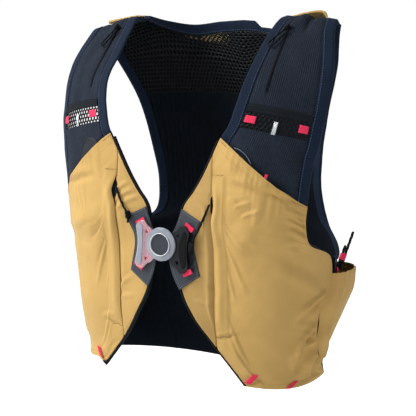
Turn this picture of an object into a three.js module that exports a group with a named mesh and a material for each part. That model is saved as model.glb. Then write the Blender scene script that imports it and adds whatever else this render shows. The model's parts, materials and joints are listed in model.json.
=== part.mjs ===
// Running vest: two front straps with pockets, an open body and a chest clasp.
// Millimetres, +Z up. The wearer faces -Y and the wearer's left is +X.
// The origin lies midway between the straps, where they rest on the ridge of the shoulders.
import * as THREE from "three";

// Driving dimensions: cloth thicknesses, gaps and trim widths.
const CLOTH = 1.2; // woven pocket cloth
const LINING = 2.0; // spacer mesh lining of the front
const STRAP_WALL = 3.0; // padded ribbed strap
const BACK_WALL = 4.0; // padded back
const TAPE = 1.0; // tabs and webbing
const GAP = 0.6; // between stacked layers
const LAYER = 1.2; // between the pocket cloth and the lining
const SEAM = 0.5; // between pieces that meet edge to edge
const SIDE_SEAM = 1.6; // each side of the side seam, where the walls meet at an angle
const WING_SEAM = 3; // along the armhole binding at the wing, where it crosses the rows at a slant
const BINDING = 13; // flat binding of the straps and armholes
const EDGING = 2.6; // black edging of the front edge

// Front half, wearer's left, from the hem up and over the shoulder.
// in_ and out_ are the points of the front edge and of the side or armhole edge.
// bow is how far the section swells between them, skew how far the swelling sits towards out_,
// and lean how far it tips up, in degrees.
const FRONT = [
  { row: "hem", in_x: 98, in_y: -78, in_z: -407, out_x: 150, out_y: 8, out_z: -402, bow: 18, skew: 0, lean: -20 },
  { row: "low", in_x: 59, in_y: -85, in_z: -362, out_x: 155, out_y: -20, out_z: -364, bow: 20, skew: 0.4, lean: 0 },
  { row: "waist", in_x: 38, in_y: -93, in_z: -332, out_x: 160, out_y: -24, out_z: -328, bow: 23, skew: 0.5, lean: 0 },
  { row: "tab_tip", in_x: 23, in_y: -94, in_z: -302, out_x: 166, out_y: -8, out_z: -292, bow: 33, skew: 0.5, lean: 0 },
  { row: "clasp", in_x: 20, in_y: -94, in_z: -254, out_x: 164, out_y: -6, out_z: -266, bow: 39, skew: 0.5, lean: 0 },
  { row: "tab_top", in_x: 24, in_y: -93, in_z: -212, out_x: 160, out_y: -50, out_z: -246, bow: 26, skew: 0.3, lean: 0 },
  { row: "chest", in_x: 38, in_y: -93, in_z: -192, out_x: 159, out_y: -56, out_z: -225, bow: 20, skew: 0.1, lean: 0 },
  { row: "corner", in_x: 51, in_y: -93, in_z: -172, out_x: 161, out_y: -56, out_z: -204, bow: 15, skew: 0, lean: 0 },
  { row: "pocket", in_x: 73, in_y: -93, in_z: -130, out_x: 167, out_y: -54, out_z: -160, bow: 10, skew: 0, lean: 4 },
  { row: "mesh_low", in_x: 80, in_y: -89, in_z: -117, out_x: 172, out_y: -50, out_z: -137, bow: 8, skew: 0, lean: 8 },
  { row: "mesh_top", in_x: 85, in_y: -85, in_z: -100, out_x: 174.5, out_y: -46, out_z: -117, bow: 7, skew: 0, lean: 14 },
  { row: "band", in_x: 87, in_y: -83, in_z: -92, out_x: 175.5, out_y: -43, out_z: -108, bow: 6, skew: 0, lean: 18 },
  { row: "middle", in_x: 90.5, in_y: -74, in_z: -71, out_x: 177, out_y: -34, out_z: -76, bow: 4, skew: 0, lean: 30 },
  { row: "upper", in_x: 91, in_y: -48, in_z: -42, out_x: 175, out_y: -19, out_z: -44, bow: 3, skew: 0, lean: 45 },
  { row: "top", in_x: 93, in_y: -23, in_z: -17, out_x: 170, out_y: -3, out_z: -20, bow: 2.5, skew: 0, lean: 60 },
  { row: "ridge", in_x: 97, in_y: 0, in_z: 0, out_x: 167, out_y: 10, out_z: -8, bow: 2, skew: 0, lean: 85 },
  { row: "seam", in_x: 99, in_y: 16, in_z: -1, out_x: 165, out_y: 21, out_z: -12.5, bow: 2, skew: 0, lean: 110 },
];

// Back half, wearer's left, from the hem to the yoke. in_ follows the middle of the back.
const BACK = [
  { row: "hem", in_x: 0, in_y: 97, in_z: -422, out_x: 150, out_y: 8, out_z: -402, bow: 28, lean: 0 },
  { row: "low", in_x: 0, in_y: 94, in_z: -367, out_x: 155, out_y: -20, out_z: -364, bow: 46, lean: 0 },
  { row: "waist", in_x: 0, in_y: 91, in_z: -330, out_x: 160, out_y: -24, out_z: -328, bow: 52, lean: 0 },
  { row: "side_top", in_x: 0, in_y: 89, in_z: -292, out_x: 166, out_y: -8, out_z: -292, bow: 49, lean: 0 },
  { row: "arm_low", in_x: 0, in_y: 88.5, in_z: -274, out_x: 165, out_y: -2, out_z: -275, bow: 44, lean: 0 },
  { row: "arm_base", in_x: 0, in_y: 88, in_z: -258, out_x: 160, out_y: 23, out_z: -270, bow: 31, lean: 0 },
  { row: "wing", in_x: 0, in_y: 88, in_z: -240, out_x: 149, out_y: 43, out_z: -259, bow: 22, lean: 0 },
  { row: "scye", in_x: 0, in_y: 88, in_z: -222, out_x: 122, out_y: 73, out_z: -240, bow: 7, lean: 0 },
  { row: "blade_low", in_x: 0, in_y: 89, in_z: -195, out_x: 114, out_y: 70, out_z: -202, bow: 8, lean: 0 },
  { row: "blade", in_x: 0, in_y: 91, in_z: -160, out_x: 118, out_y: 63, out_z: -162, bow: 10, lean: 0 },
  { row: "blade_top", in_x: 0, in_y: 92, in_z: -100, out_x: 132, out_y: 53, out_z: -102, bow: 14, lean: 10 },
  { row: "yoke", in_x: 0, in_y: 89, in_z: -55, out_x: 152, out_y: 36, out_z: -52, bow: 16, lean: 20 },
];

// Collar, wearer's left, from the nape to the shoulder. in_ is the neckline that it stands on.
const COLLAR = [
  { in_x: 0, in_y: 83, in_z: -16, out_x: 0, out_y: 80, out_z: -4 },
  { in_x: 32, in_y: 81, in_z: -18, out_x: 31, out_y: 78, out_z: -6 },
  { in_x: 64, in_y: 73, in_z: -21, out_x: 60, out_y: 68, out_z: -10 },
  { in_x: 91, in_y: 46, in_z: -12, out_x: 82, out_y: 42, out_z: -6 },
  { in_x: 101, in_y: 19.2, in_z: -2, out_x: 91, out_y: 18.2, out_z: -1.2 },
];
// The yoke joins the top back section to the neckline and then to the shoulder seam.
const YOKE = { neck_share: 0.58, shoulder_x: 165, shoulder_y: 24, shoulder_z: -13.6, arch: 2, swell: 13 };

const row = (table, name) => table.findIndex((r) => r.row === name);
const HEM = row(FRONT, "hem");
const POCKET = row(FRONT, "pocket");
const MESH_LOW = row(FRONT, "mesh_low");
const MESH_TOP = row(FRONT, "mesh_top");
const BAND = row(FRONT, "band");
const SEAM_ROW = row(FRONT, "seam");
const SLIT_X = 63; // distance of the zip slit from the middle
const NET = { across: 7, along: 3, bar: 0.34 }; // holes of a window, and a bar's share of the pitch


// Front edge patch that carries the clasp, in the front view: its inner and its outer edge.
const CLASP_TAB = [
  { in_x: 21, in_z: -303, out_x: 46, out_z: -286 },
  { in_x: 13, in_z: -287, out_x: 43, out_z: -273 },
  { in_x: 8.5, in_z: -268, out_x: 39.5, out_z: -256 },
  { in_x: 9.5, in_z: -246, out_x: 40, out_z: -245 },
  { in_x: 17, in_z: -230, out_x: 43, out_z: -237 },
  { in_x: 24, in_z: -212, out_x: 50, out_z: -224 },
];

// Chest clasp, seen from the front, around its own centre.
const CLASP = { x: 2, z: -252, face: -97.9, turn: 1 };
const PLATE = { depth: 2.6, gap: 0.4, drop: 3 }; // drop: how far the plates and webs sit below the ring
const RING = { outer: 19, step: 15.5, rim: 13.4, bore: 12, low: 2.2, high: 5 };
const DISC = { radius: 11.6, depth: 3.2 };
const WEB_DEPTH = 1.2;

// Upper halves of the outlines of a half plate and of the web that it is threaded on.
const PLATE_EDGE = [[9, 13], [14, 19], [21, 28], [29, 29], [36.5, 21], [33, 9], [32.5, 0]];
const WEB_EDGE = [[27, 29.5], [31, 32], [39.5, 24.5], [36, 17], [32.5, 8]];

// Sizes of the small pieces, in millimetres.
const ZIP = { u: 0.29, half_width: 2.2, from: 11.6, to: 14.3, height: 1.2 };
const CORD = { radius: 0.9, sides: 8 };
const SLIT_CORD = { radius: 1.2, sides: 8 };
// Cord that hangs from the zip slit, in the front view, with its lift off the cloth.
const SLIT_TAIL = {
  left: [[63, -204, 2.2], [57, -219, 4], [50, -231, 5], [43, -241, 5.5], [39.5, -249, 5.5]],
  right: [[62, -192, 2.2], [56, -204, 3.4], [50, -214, 4.4], [45, -221.5, 5], [46, -231, 4.4]],
};
const PATCH = { x: 107, z: -150, radius: 13, height: 1, sides: 24 };
const ADJUSTER = { radius: 1.6, sides: 8, u: 0.93, v: 3.45, lift: 5.4 };
const ADJUSTER_LEAN = [4, 26, 41]; // from the foot of the pull to its tip
const SHELL = { bulge: 9, mouth: 8.5, side: 0.6, inset: 7 };
const POCKET_PUFF = 2.5;
const POCKET_MOUTH = 5;
const SIDE_POCKET = { start: 0.62, end: 0.985, gape: 20, floor_back: 2.05, floor_front: 0.72, rim: 3.1 };

const COLOURS = {
  tan_cloth: { color: 0xd8b070, roughness: 0.75, metalness: 0 },
  ribbed_cloth: { color: 0x343b47, roughness: 0.85, metalness: 0 },
  navy_binding: { color: 0x26344b, roughness: 0.8, metalness: 0 },
  dark_mesh: { color: 0x12161c, roughness: 0.9, metalness: 0 },
  grey_film: { color: 0x41464d, roughness: 0.6, metalness: 0 },
  red_webbing: { color: 0xe82c50, roughness: 0.7, metalness: 0 },
  silver_tape: { color: 0xb8bcc2, roughness: 0.35, metalness: 0.2 },
  clear_plastic: { color: 0xb9b4b6, roughness: 0.35, metalness: 0 },
  grey_plastic: { color: 0x4a4d52, roughness: 0.5, metalness: 0 },
  dark_plastic: { color: 0x25282d, roughness: 0.5, metalness: 0 },
  black_cord: { color: 0x101216, roughness: 0.85, metalness: 0 },
};

const SIDES = [{ name: "left", sign: 1 }, { name: "right", sign: -1 }];
const vec = (x, y, z) => new THREE.Vector3(x, y, z);
const clamp = THREE.MathUtils.clamp;
const lerp = THREE.MathUtils.lerp;
const smooth = THREE.MathUtils.smoothstep;

// Curve through one edge of a table of sections, read by row.
function edgeCurve(table, end) {
  const points = table.map((r) => vec(r[end + "_x"], r[end + "_y"], r[end + "_z"]));
  const curve = new THREE.CatmullRomCurve3(points, false, "centripetal");
  const last = table.length - 1;
  return (v) => curve.getPoint(clamp(v / last, 0, 1));
}

// A column of a table, read smoothly between its rows.
function column(table, key, v) {
  const low = clamp(Math.floor(v), 0, table.length - 2);
  const t = v - low;
  const [a, b, c, d] = [-1, 0, 1, 2].map((k) => table[clamp(low + k, 0, table.length - 1)][key] ?? 0);
  const bend = (2 * a - 5 * b + 4 * c - d) * t + (3 * b - a - 3 * c + d) * t * t;
  return b + 0.5 * t * (c - a + bend);
}

// Point across (u) and along (v, counted in rows) a table of sections. Facing 1 is the front, -1 the back.
function loft(table, facing) {
  const inner = edgeCurve(table, "in");
  const outer = edgeCurve(table, "out");
  return (u, v) => {
    const a = inner(v);
    const b = outer(v);
    const chord = b.clone().sub(a);
    const lean = THREE.MathUtils.degToRad(column(table, "lean", v));
    const out = vec(chord.y, -chord.x, 0).normalize().multiplyScalar(facing * Math.cos(lean));
    out.z = Math.sin(lean);
    const swell = 4 * u * (1 - u) * (1 + column(table, "skew", v) * (2 * u - 1));
    return a.lerp(b, u).addScaledVector(out, column(table, "bow", v) * swell);
  };
}

// Surface with its outward normal.
function surfaceOf(point, facing, last) {
  const normal = (u, v) => {
    const across = point(u + 0.01, v).sub(point(u - 0.01, v));
    const along = point(u, Math.min(v + 0.02, last)).sub(point(u, Math.max(v - 0.02, 0)));
    return across.cross(along).normalize().multiplyScalar(facing);
  };
  return { point, normal, facing };
}

// Top edge of the yoke: the neckline, then the shoulder seam.
const neckline = edgeCurve(COLLAR, "in");
const collarTop = edgeCurve(COLLAR, "out");
const NECK_ROWS = COLLAR.length - 1;
function yokeTop(u) {
  const along = (u - YOKE.neck_share) / (1 - YOKE.neck_share);
  if (along <= 0) return neckline((Math.abs(u) / YOKE.neck_share) * NECK_ROWS).multiply(vec(Math.sign(u), 1, 1));
  const end = vec(YOKE.shoulder_x, YOKE.shoulder_y, YOKE.shoulder_z);
  const seam = neckline(NECK_ROWS).lerp(end, along);
  seam.z += YOKE.arch * 4 * along * (1 - along);
  return seam;
}

// The back, whose last row above the table is the yoke.
const backRows = loft(BACK, -1);
const YOKE_ROW = BACK.length - 1;
const BACK_TOP = YOKE_ROW + 1;
function backPoint(u, v) {
  if (v <= YOKE_ROW) return backRows(u, v);
  const t = v - YOKE_ROW;
  const swell = YOKE.swell * Math.sin(Math.PI * clamp(u, 0, 1)) * 4 * t * (1 - t);
  return backRows(u, YOKE_ROW).lerp(yokeTop(u), t).add(vec(0, 0.6 * swell, 0.8 * swell));
}

const front = surfaceOf(loft(FRONT, 1), 1, FRONT.length - 1);
const back = surfaceOf(backPoint, -1, BACK_TOP);
const collar = surfaceOf((u, v) => neckline(v).lerp(collarTop(v), u), -1, NECK_ROWS);

// Share of u that covers a distance in millimetres near an edge.
function share(surface, u, v, distance) {
  return distance / (surface.point(u + 0.01, v).distanceTo(surface.point(u - 0.01, v)) / 0.02);
}

// Where the front surface has a given x and z.
function locate(x, z) {
  let u = 0.2;
  let v = clamp(FRONT.findIndex((r) => r.in_z > z), 1, FRONT.length - 1) - 0.5;
  for (let turn = 0; turn < 14; turn += 1) {
    const p = front.point(u, v);
    const du = front.point(u + 0.01, v).sub(p).multiplyScalar(100);
    const dv = front.point(u, v + 0.01).sub(p).multiplyScalar(100);
    const det = du.x * dv.z - dv.x * du.z;
    u += ((x - p.x) * dv.z - (z - p.z) * dv.x) / det;
    v += ((z - p.z) * du.x - (x - p.x) * du.z) / det;
    v = clamp(v, 0, FRONT.length - 1.02);
  }
  return [u, v];
}

// u of the line x = SLIT_X, which never leaves the front.
function slitU(v) {
  let low = 0;
  let high = 0.5;
  for (let turn = 0; turn < 20; turn += 1) {
    const mid = (low + high) / 2;
    if (front.point(mid, v).x < SLIT_X) low = mid;
    else high = mid;
  }
  return low;
}

// Cells of a grid over a surface. at(s, t) gives u, v and a lift; open(i, j) leaves a cell out.
function cellsOf({ surface, at, across, along, from, to, side = 1, open = () => false }) {
  const steps = Array.isArray(across) ? across : Array.from({ length: across + 1 }, (_, i) => i / across);
  const rises = Array.isArray(along) ? along : Array.from({ length: along + 1 }, (_, j) => j / along);
  const grid = steps.map((s) => rises.map((t) => {
    const [u, v, lift = 0] = at(s, t);
    const base = surface.point(u, v);
    const out = surface.normal(u, v);
    if (Math.abs(base.x) < 1e-6) out.setX(0).normalize();
    const top = base.clone().addScaledVector(out, to + lift);
    const low = base.clone().addScaledVector(out, from + lift);
    return [top, low].map((p) => vec(p.x * side, p.y, p.z));
  }));
  const cells = [];
  for (let i = 0; i + 1 < steps.length; i += 1) {
    for (let j = 0; j + 1 < rises.length; j += 1) {
      if (open(i, j)) continue;
      const cell = [grid[i][j], grid[i + 1][j], grid[i + 1][j + 1], grid[i][j + 1]];
      cells.push(surface.facing * side > 0 ? cell : [cell[0], cell[3], cell[2], cell[1]]);
    }
  }
  return cells;
}

// Closed shell over cells that share corners: both faces, and a wall along each open edge.
function shell(cells) {
  const ids = new Map();
  const corners = [];
  const idOf = (corner) => {
    const key = corner[0].toArray().map((n) => Math.round(n * 1000)).join(" ");
    if (!ids.has(key)) ids.set(key, corners.push(corner) - 1);
    return ids.get(key);
  };
  const quads = cells.map((cell) => cell.map(idOf));
  const edges = new Set(quads.flatMap((q) => q.map((a, k) => a + ">" + q[(k + 1) % 4])));
  const low = corners.length;
  const faces = [];
  for (const q of quads) {
    const [a, b, c, d] = q;
    faces.push(a, b, c, a, c, d);
    faces.push(low + c, low + b, low + a, low + d, low + c, low + a);
    q.forEach((start, k) => {
      const end = q[(k + 1) % 4];
      if (edges.has(end + ">" + start)) return;
      faces.push(end, start, low + start, end, low + start, low + end);
    });
  }
  const geometry = new THREE.BufferGeometry();
  const layers = [...corners.map((c) => c[0]), ...corners.map((c) => c[1])];
  geometry.setAttribute("position", new THREE.Float32BufferAttribute(layers.flatMap((p) => p.toArray()), 3));
  geometry.setIndex(faces);
  geometry.computeVertexNormals();
  return geometry;
}

const vest = new THREE.Group();

// Adds one named piece.
function add(name, geometry, finish) {
  const mesh = new THREE.Mesh(geometry, new THREE.MeshStandardMaterial(COLOURS[finish]));
  mesh.name = name;
  vest.add(mesh);
}

// Round cord along points.
function cord(points, { radius, sides }, steps) {
  const ring = Array.from({ length: sides }, (_, k) => (k / sides) * 2 * Math.PI);
  const section = new THREE.Shape(ring.map((a) => new THREE.Vector2(radius * Math.cos(a), radius * Math.sin(a))));
  const path = new THREE.CatmullRomCurve3(points, false, "centripetal");
  return new THREE.ExtrudeGeometry(section, { steps, extrudePath: path, bevelEnabled: false });
}

// A plain rectangle of tape on a surface, given by its middle, its half sizes in u and v and its slant.
function tape(surface, side, u, v, half_u, half_v, from, slant = 0) {
  const at = (s, t) => [u + (s - 0.5) * 2 * half_u + (t - 0.5) * slant, v + (t - 0.5) * 2 * half_v];
  return shell(cellsOf({ surface, at, across: 2, along: 2, from, to: from + TAPE, side }));
}

// Front panel: lining, pocket, placket, edging and strap of one side.
const inEdge = (v) => share(front, 0, v, BINDING);
const outEdge = (v) => 1 - share(front, 1, v, BINDING);
const baseIn = (v) => smooth(v, 7, 7.7) * (inEdge(v) + share(front, 0, v, SEAM));
const baseOut = (v) => lerp(
  1 - share(front, 1, v, SIDE_SEAM),
  outEdge(v) - share(front, 1, v, SEAM),
  smooth(v, 6, 6.7),
);
const BASE_COLUMNS = [0, 0.1, 0.2, 0.4, 0.55, 0.68, 0.8, 0.9, 1];
const BASE_ROWS = 16;
const BASE_TOP = MESH_LOW - 0.03;

function frontPanel({ name, sign: side }) {
  const between = (low, high) => (s, t) => {
    const v = lerp(low, high, t);
    return [lerp(baseIn(v), baseOut(v), s), v];
  };
  const liningTop = -CLOTH - LAYER;
  const lining = { surface: front, at: between(HEM, BASE_TOP), across: BASE_COLUMNS, along: BASE_ROWS, side };
  add("front_base_" + name, shell(cellsOf({ ...lining, from: liningTop - LINING, to: liningTop })), "dark_mesh");

  // Tan pocket: from the slit line to the side, with a slanted open top edge that stands off a little.
  const pocketAt = (s, t) => {
    const v = t * (POCKET - s - 0.03);
    const start = slitU(v) + share(front, 0.1, v, SEAM);
    const u = s < 0.55 ? lerp(start, 0.55, s / 0.55) : s;
    const puff = POCKET_PUFF * Math.sin(Math.PI * s) * Math.sin(Math.PI * t);
    const fold = 2.5 * Math.exp(-(((s - 0.06) / 0.05) ** 2)) * smooth(t, 0.15, 0.3) * (1 - smooth(t, 0.75, 0.9));
    const mouth = POCKET_MOUTH * smooth(t, 0.75, 1) * Math.sin(Math.PI * s);
    return [Math.min(u, 1 - share(front, 1, v, SEAM)), v, puff + fold + mouth];
  };
  const columns = [0, 0.06, 0.13, 0.26, 0.4, 0.55, 0.68, 0.8, 0.9, 1];
  const pocket = { surface: front, at: pocketAt, across: columns, along: 14, from: -CLOTH, to: 0, side };
  add("front_pocket_" + name, shell(cellsOf(pocket)), "tan_cloth");

  const placketAt = (s, t) => {
    const v = lerp(1.12, 7.36, t);
    return [lerp(share(front, 0, v, SEAM), slitU(v) - share(front, 0.1, v, SEAM), s), v];
  };
  const placket = { surface: front, at: placketAt, across: 2, along: 14, from: -CLOTH, to: 0, side };
  add("front_placket_" + name, shell(cellsOf(placket)), "tan_cloth");

  const edgingAt = (s, t) => {
    const v = t * BASE_TOP * (14 / BASE_ROWS);
    return [-share(front, 0, v, 0.2 + SEAM + EDGING * (1 - s)), v];
  };
  const edging = { surface: front, at: edgingAt, across: 1, along: 14, from: liningTop - LINING, to: -0.3, side };
  add("front_edging_" + name, shell(cellsOf(edging)), "black_cord");

  // Ribbed panel between the slanted pocket edge and the window.
  const ribbedAt = (s, t) => {
    const low = POCKET - lerp(baseIn(POCKET - s), baseOut(POCKET - s), s) + 0.07;
    const v = lerp(low, BASE_TOP, t);
    return [lerp(baseIn(v), baseOut(v), s), v];
  };
  const ribbed = { surface: front, at: ribbedAt, across: 6, along: 5, from: -CLOTH, to: 0, side };
  add("strap_pocket_" + name, shell(cellsOf(ribbed)), "ribbed_cloth");

  // Window net: bars and holes in turn.
  const bars = (count) => {
    const pitch = 1 / (count + NET.bar);
    return Array.from({ length: 2 * count + 2 }, (_, k) => pitch * (Math.floor(k / 2) + (k % 2) * NET.bar));
  };
  const window = { surface: front, at: between(MESH_LOW + 0.02, MESH_TOP - 0.03), side };
  const holes = { across: bars(NET.across), along: bars(NET.along), open: (i, j) => i % 2 === 1 && j % 2 === 1 };
  add("strap_mesh_" + name, shell(cellsOf({ ...window, ...holes, from: -1.6, to: -0.6 })), "dark_mesh");

  const band = { surface: front, at: between(MESH_TOP + 0.02, BAND - 0.04), across: 6, along: 1, side };
  add("strap_elastic_" + name, shell(cellsOf({ ...band, from: -2.4, to: 0.6 })), "ribbed_cloth");

  const strap = { surface: front, at: between(BAND, SEAM_ROW), across: 5, along: 10, side };
  add("strap_upper_" + name, shell(cellsOf({ ...strap, from: -STRAP_WALL, to: 0 })), "ribbed_cloth");

  const innerAt = (s, t) => {
    const v = lerp(POCKET, SEAM_ROW, t);
    return [s * inEdge(v), v];
  };
  const outerAt = (s, t) => {
    const v = lerp(lerp(7.22, 7.08, s), SEAM_ROW, t);
    return [lerp(outEdge(v), 1, s), v];
  };
  const binding = { surface: front, across: 1, from: -STRAP_WALL - 0.2, to: 0.2, side };
  add("strap_binding_in_" + name, shell(cellsOf({ ...binding, at: innerAt, along: 18 })), "navy_binding");
  add("strap_binding_out_" + name, shell(cellsOf({ ...binding, at: outerAt, along: 20 })), "navy_binding");
}

// Tabs, zip and cord pulls of one side.
function frontTrim({ name, sign: side }) {
  const on = (x, z, lift) => {
    const [u, v] = locate(x, z);
    const p = front.point(u, v).addScaledVector(front.normal(u, v), lift);
    return vec(p.x * side, p.y, p.z);
  };
  add("window_tab_in_" + name, tape(front, side, 0.215, 9.55, 0.06, 0.2, 0), "red_webbing");
  add("window_tab_out_" + name, tape(front, side, 0.8, 9.55, 0.05, 0.2, 0), "red_webbing");
  add("window_tab_mid_" + name, tape(front, side, 0.5, 9.3, 0.022, 0.34, 0.6), "silver_tape");
  add("hem_tab_front_" + name, tape(front, side, 0.115, 0.205, 0.03, 0.125, 0.9, 0.17), "red_webbing");
  add("hem_tab_side_" + name, tape(front, side, 0.505, 0.085, 0.03, 0.08, 1.3, 0.15), "red_webbing");

  const zipAt = (s, t) => {
    const v = lerp(ZIP.from, ZIP.to, t);
    return [ZIP.u + share(front, ZIP.u, v, (s - 0.5) * 2 * ZIP.half_width), v];
  };
  const zip = { surface: front, at: zipAt, across: 2, along: 5, from: GAP, to: GAP + ZIP.height, side };
  add("strap_zip_" + name, shell(cellsOf(zip)), "black_cord");

  const reach = side > 0 ? -1 : 1;
  const loop = [[0, 0], [5, -6], [11, -14], [13, -18], [10, -20], [6, -17], [1, -9], [-3, -3]];
  const loopPoints = loop.map(([x, z]) => on(114 + reach * x, -14 + z, 3.4));
  add("zip_pull_" + name, cord(loopPoints, CORD, 12), "black_cord");

  add("slit_pull_" + name, cord(SLIT_TAIL[name].map(([x, z, lift]) => on(x, z, lift)), SLIT_CORD, 8), "black_cord");

  const tabAt = (s, t) => {
    const r = t * (CLASP_TAB.length - 1);
    const x = lerp(column(CLASP_TAB, "in_x", r), column(CLASP_TAB, "out_x", r), s);
    const z = lerp(column(CLASP_TAB, "in_z", r), column(CLASP_TAB, "out_z", r), s);
    return locate(x, z);
  };
  const tab = { surface: front, at: tabAt, across: 4, along: 8, from: 0.9, to: 2.3, side };
  add("clasp_tab_" + name, shell(cellsOf(tab)), "grey_film");
}

// Side pocket, adjuster and armhole binding of one side.
function sideTrim({ name, sign: side }) {
  const { start, end, gape, floor_back, floor_front, rim } = SIDE_POCKET;
  const pocketAt = (s, t) => {
    const v = lerp(lerp(floor_back, floor_front, s), rim, t);
    const open = gape * Math.sin(Math.PI * s ** 1.15) ** 0.8 * t ** 0.8;
    return [lerp(start, end, s), v, open];
  };
  const pocket = { surface: back, at: pocketAt, across: 7, along: 7, from: GAP, to: GAP + CLOTH, side };
  add("side_pocket_" + name, shell(cellsOf(pocket)), "tan_cloth");

  const strapAt = (s, t) => [lerp(0.8, 0.985, s), lerp(3.35, 4.15, t)];
  const strap = { surface: back, at: strapAt, across: 4, along: 1, from: GAP, to: GAP + 1.4, side };
  add("side_strap_" + name, shell(cellsOf(strap)), "black_cord");

  const { u, v, lift } = ADJUSTER;
  add("adjuster_tab_" + name, tape(back, side, u, v, 0.03, 0.2, GAP + 2.2), "red_webbing");
  const foot = back.point(u, v).addScaledVector(back.normal(u, v), lift);
  const tip = foot.clone().add(vec(...ADJUSTER_LEAN));
  const pull = [foot, foot.clone().lerp(tip, 0.5), tip].map((p) => vec(p.x * side, p.y, p.z));
  add("adjuster_pull_" + name, cord(pull, ADJUSTER, 4), "black_cord");

  const bindingAt = (s, v) => [lerp(1 - share(back, 1, v, BINDING), 1, s), v];
  const rows = [...PAD_ROWS.filter((v) => v >= ARM_START), ...MESH_ROWS];
  const binding = { surface: back, at: bindingAt, across: 1, along: rows, from: -BACK_WALL, to: 0.2, side };
  add("armhole_binding_" + name, shell(cellsOf(binding)), "navy_binding");
}

// Back: padded panel below, mesh above, collar and tan outer shell. Both halves are one piece.
const ARM_START = 4.4;
const PAD_ROWS = [0, 0.7, 1.4, 2, 2.6, 3, 3.5, 4, 4.4, 4.9, 5.4, 5.9, 6.4, 6.9, 7.5, 8.3, 9.2, 10.1];
const MESH_ROWS = [10.112, 10.6, 11, 11.25, 11.5, 11.75, 12];
const backRim = (v) => lerp(
  1 - share(back, 1, v, SIDE_SEAM),
  1 - share(back, 1, v, BINDING + lerp(WING_SEAM, 2 * SEAM, smooth(v, 6.9, 7.6))),
  smooth(v, ARM_START - 0.4, ARM_START),
);

function backPanel() {
  const both = (patch) => shell([1, -1].flatMap((side) => cellsOf({ surface: back, ...patch, side })));
  const split = (s, end) => {
    const neck = YOKE.neck_share;
    return s < neck ? s : lerp(neck, end, (s - neck) / (1 - neck));
  };
  const wall = { from: -BACK_WALL, to: 0 };
  add("back_pad", both({ at: (s, v) => [s * backRim(v), v], across: 8, along: PAD_ROWS, ...wall }), "dark_mesh");
  const columns = [0, 0.145, 0.29, 0.435, 0.58, 0.72, 0.86, 1];
  const mesh = { at: (s, v) => [split(s, backRim(v)), v], across: columns, along: MESH_ROWS };
  add("back_mesh", both({ ...mesh, from: -BACK_WALL, to: -1 }), "dark_mesh");

  const shellAt = (s, v) => {
    const edge = backRim(v) - share(back, 1, v, SHELL.inset);
    const side = lerp(SHELL.side, edge, smooth(v, 3.4, 6.4));
    const u = v < 6.4 ? s * side : lerp(s * side, split(s, side), smooth(v, 6.4, 11));
    const bulge = SHELL.bulge * Math.cos((Math.PI / 2) * s) * Math.sin(Math.PI * clamp(v / 11.5, 0, 1));
    const over = clamp((s - YOKE.neck_share) / (1 - YOKE.neck_share), 0, 1);
    const mouth = SHELL.mouth * Math.sin(Math.PI * over) ** 0.8 * smooth(v, 11, 12);
    const top = lerp(0.82, 0.97, smooth(s, YOKE.neck_share, 0.75));
    const rise = 0.9 * (1 - smooth(s, 0.86, 1)) + 0.8 * smooth(v, 10.5, 11.5);
    return [u, v < YOKE_ROW ? v : YOKE_ROW + (v - YOKE_ROW) * top, bulge + mouth + rise];
  };
  const rows = [0.1, 0.7, 1.4, 2, 2.6, 3, 3.5, 4.4, 5.4, 6.4, 6.9, 7.5, 8.3, 9.2, 10.1, 11, 11.35, 11.7, 12];
  const cloth = { at: shellAt, across: columns, along: rows, from: 2 * GAP, to: 2 * GAP + CLOTH };
  add("back_shell", both(cloth), "tan_cloth");

  const collarCells = [1, -1].flatMap((side) => cellsOf({
    surface: collar,
    at: (s, t) => [lerp(0.11, 1, s), t * NECK_ROWS],
    across: 1,
    along: 12,
    from: -3,
    to: 0,
    side,
  }));
  add("back_collar", shell(collarCells), "navy_binding");
}

// Chest clasp: red webs, two half plates, ring and disc, stacked towards the front.
function chestClasp() {
  const place = (geometry, depth) => {
    geometry.rotateX(Math.PI / 2);
    geometry.rotateY(THREE.MathUtils.degToRad(CLASP.turn));
    return geometry.translate(CLASP.x, CLASP.face - depth, CLASP.z);
  };
  const extruded = (half, side, depth) => {
    const geometry = new THREE.ExtrudeGeometry(new THREE.Shape(outline(half, side)), { depth, bevelEnabled: false });
    return geometry.translate(0, -PLATE.drop, 0);
  };
  const outline = (half, side) => {
    const mirrored = half.slice(0, -1).reverse().map(([x, z]) => [x, -z]);
    const points = [...half, ...mirrored].map(([x, z]) => new THREE.Vector2(x * side, z));
    return side > 0 ? points.reverse() : points;
  };
  for (const { name, sign: side } of SIDES) {
    add("clasp_web_" + name, place(extruded(WEB_EDGE, side, WEB_DEPTH), 0), "red_webbing");
    const plate = extruded(PLATE_EDGE, side, PLATE.depth);
    add("clasp_plate_" + name, place(plate, WEB_DEPTH + PLATE.gap), side > 0 ? "dark_plastic" : "clear_plastic");
  }
  const base = WEB_DEPTH + PLATE.depth + 2 * PLATE.gap;
  const turned = (profile) => {
    const points = profile.map(([r, h]) => new THREE.Vector2(r, h));
    return new THREE.LatheGeometry(points, 24).rotateX(Math.PI / 2);
  };
  const ringEdge = [[RING.bore, 0], [RING.outer, 0], [RING.outer, RING.low], [RING.step, RING.low + 0.8],
    [RING.rim, RING.high], [RING.bore, RING.high], [RING.bore, 0]];
  add("clasp_ring", place(turned(ringEdge), base), "clear_plastic");
  const discEdge = [[0, 0], [DISC.radius, 0], [DISC.radius, DISC.depth - 0.5], [DISC.radius - 0.5, DISC.depth], [0, DISC.depth]];
  add("clasp_disc", place(turned(discEdge), base), "grey_plastic");
}

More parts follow.
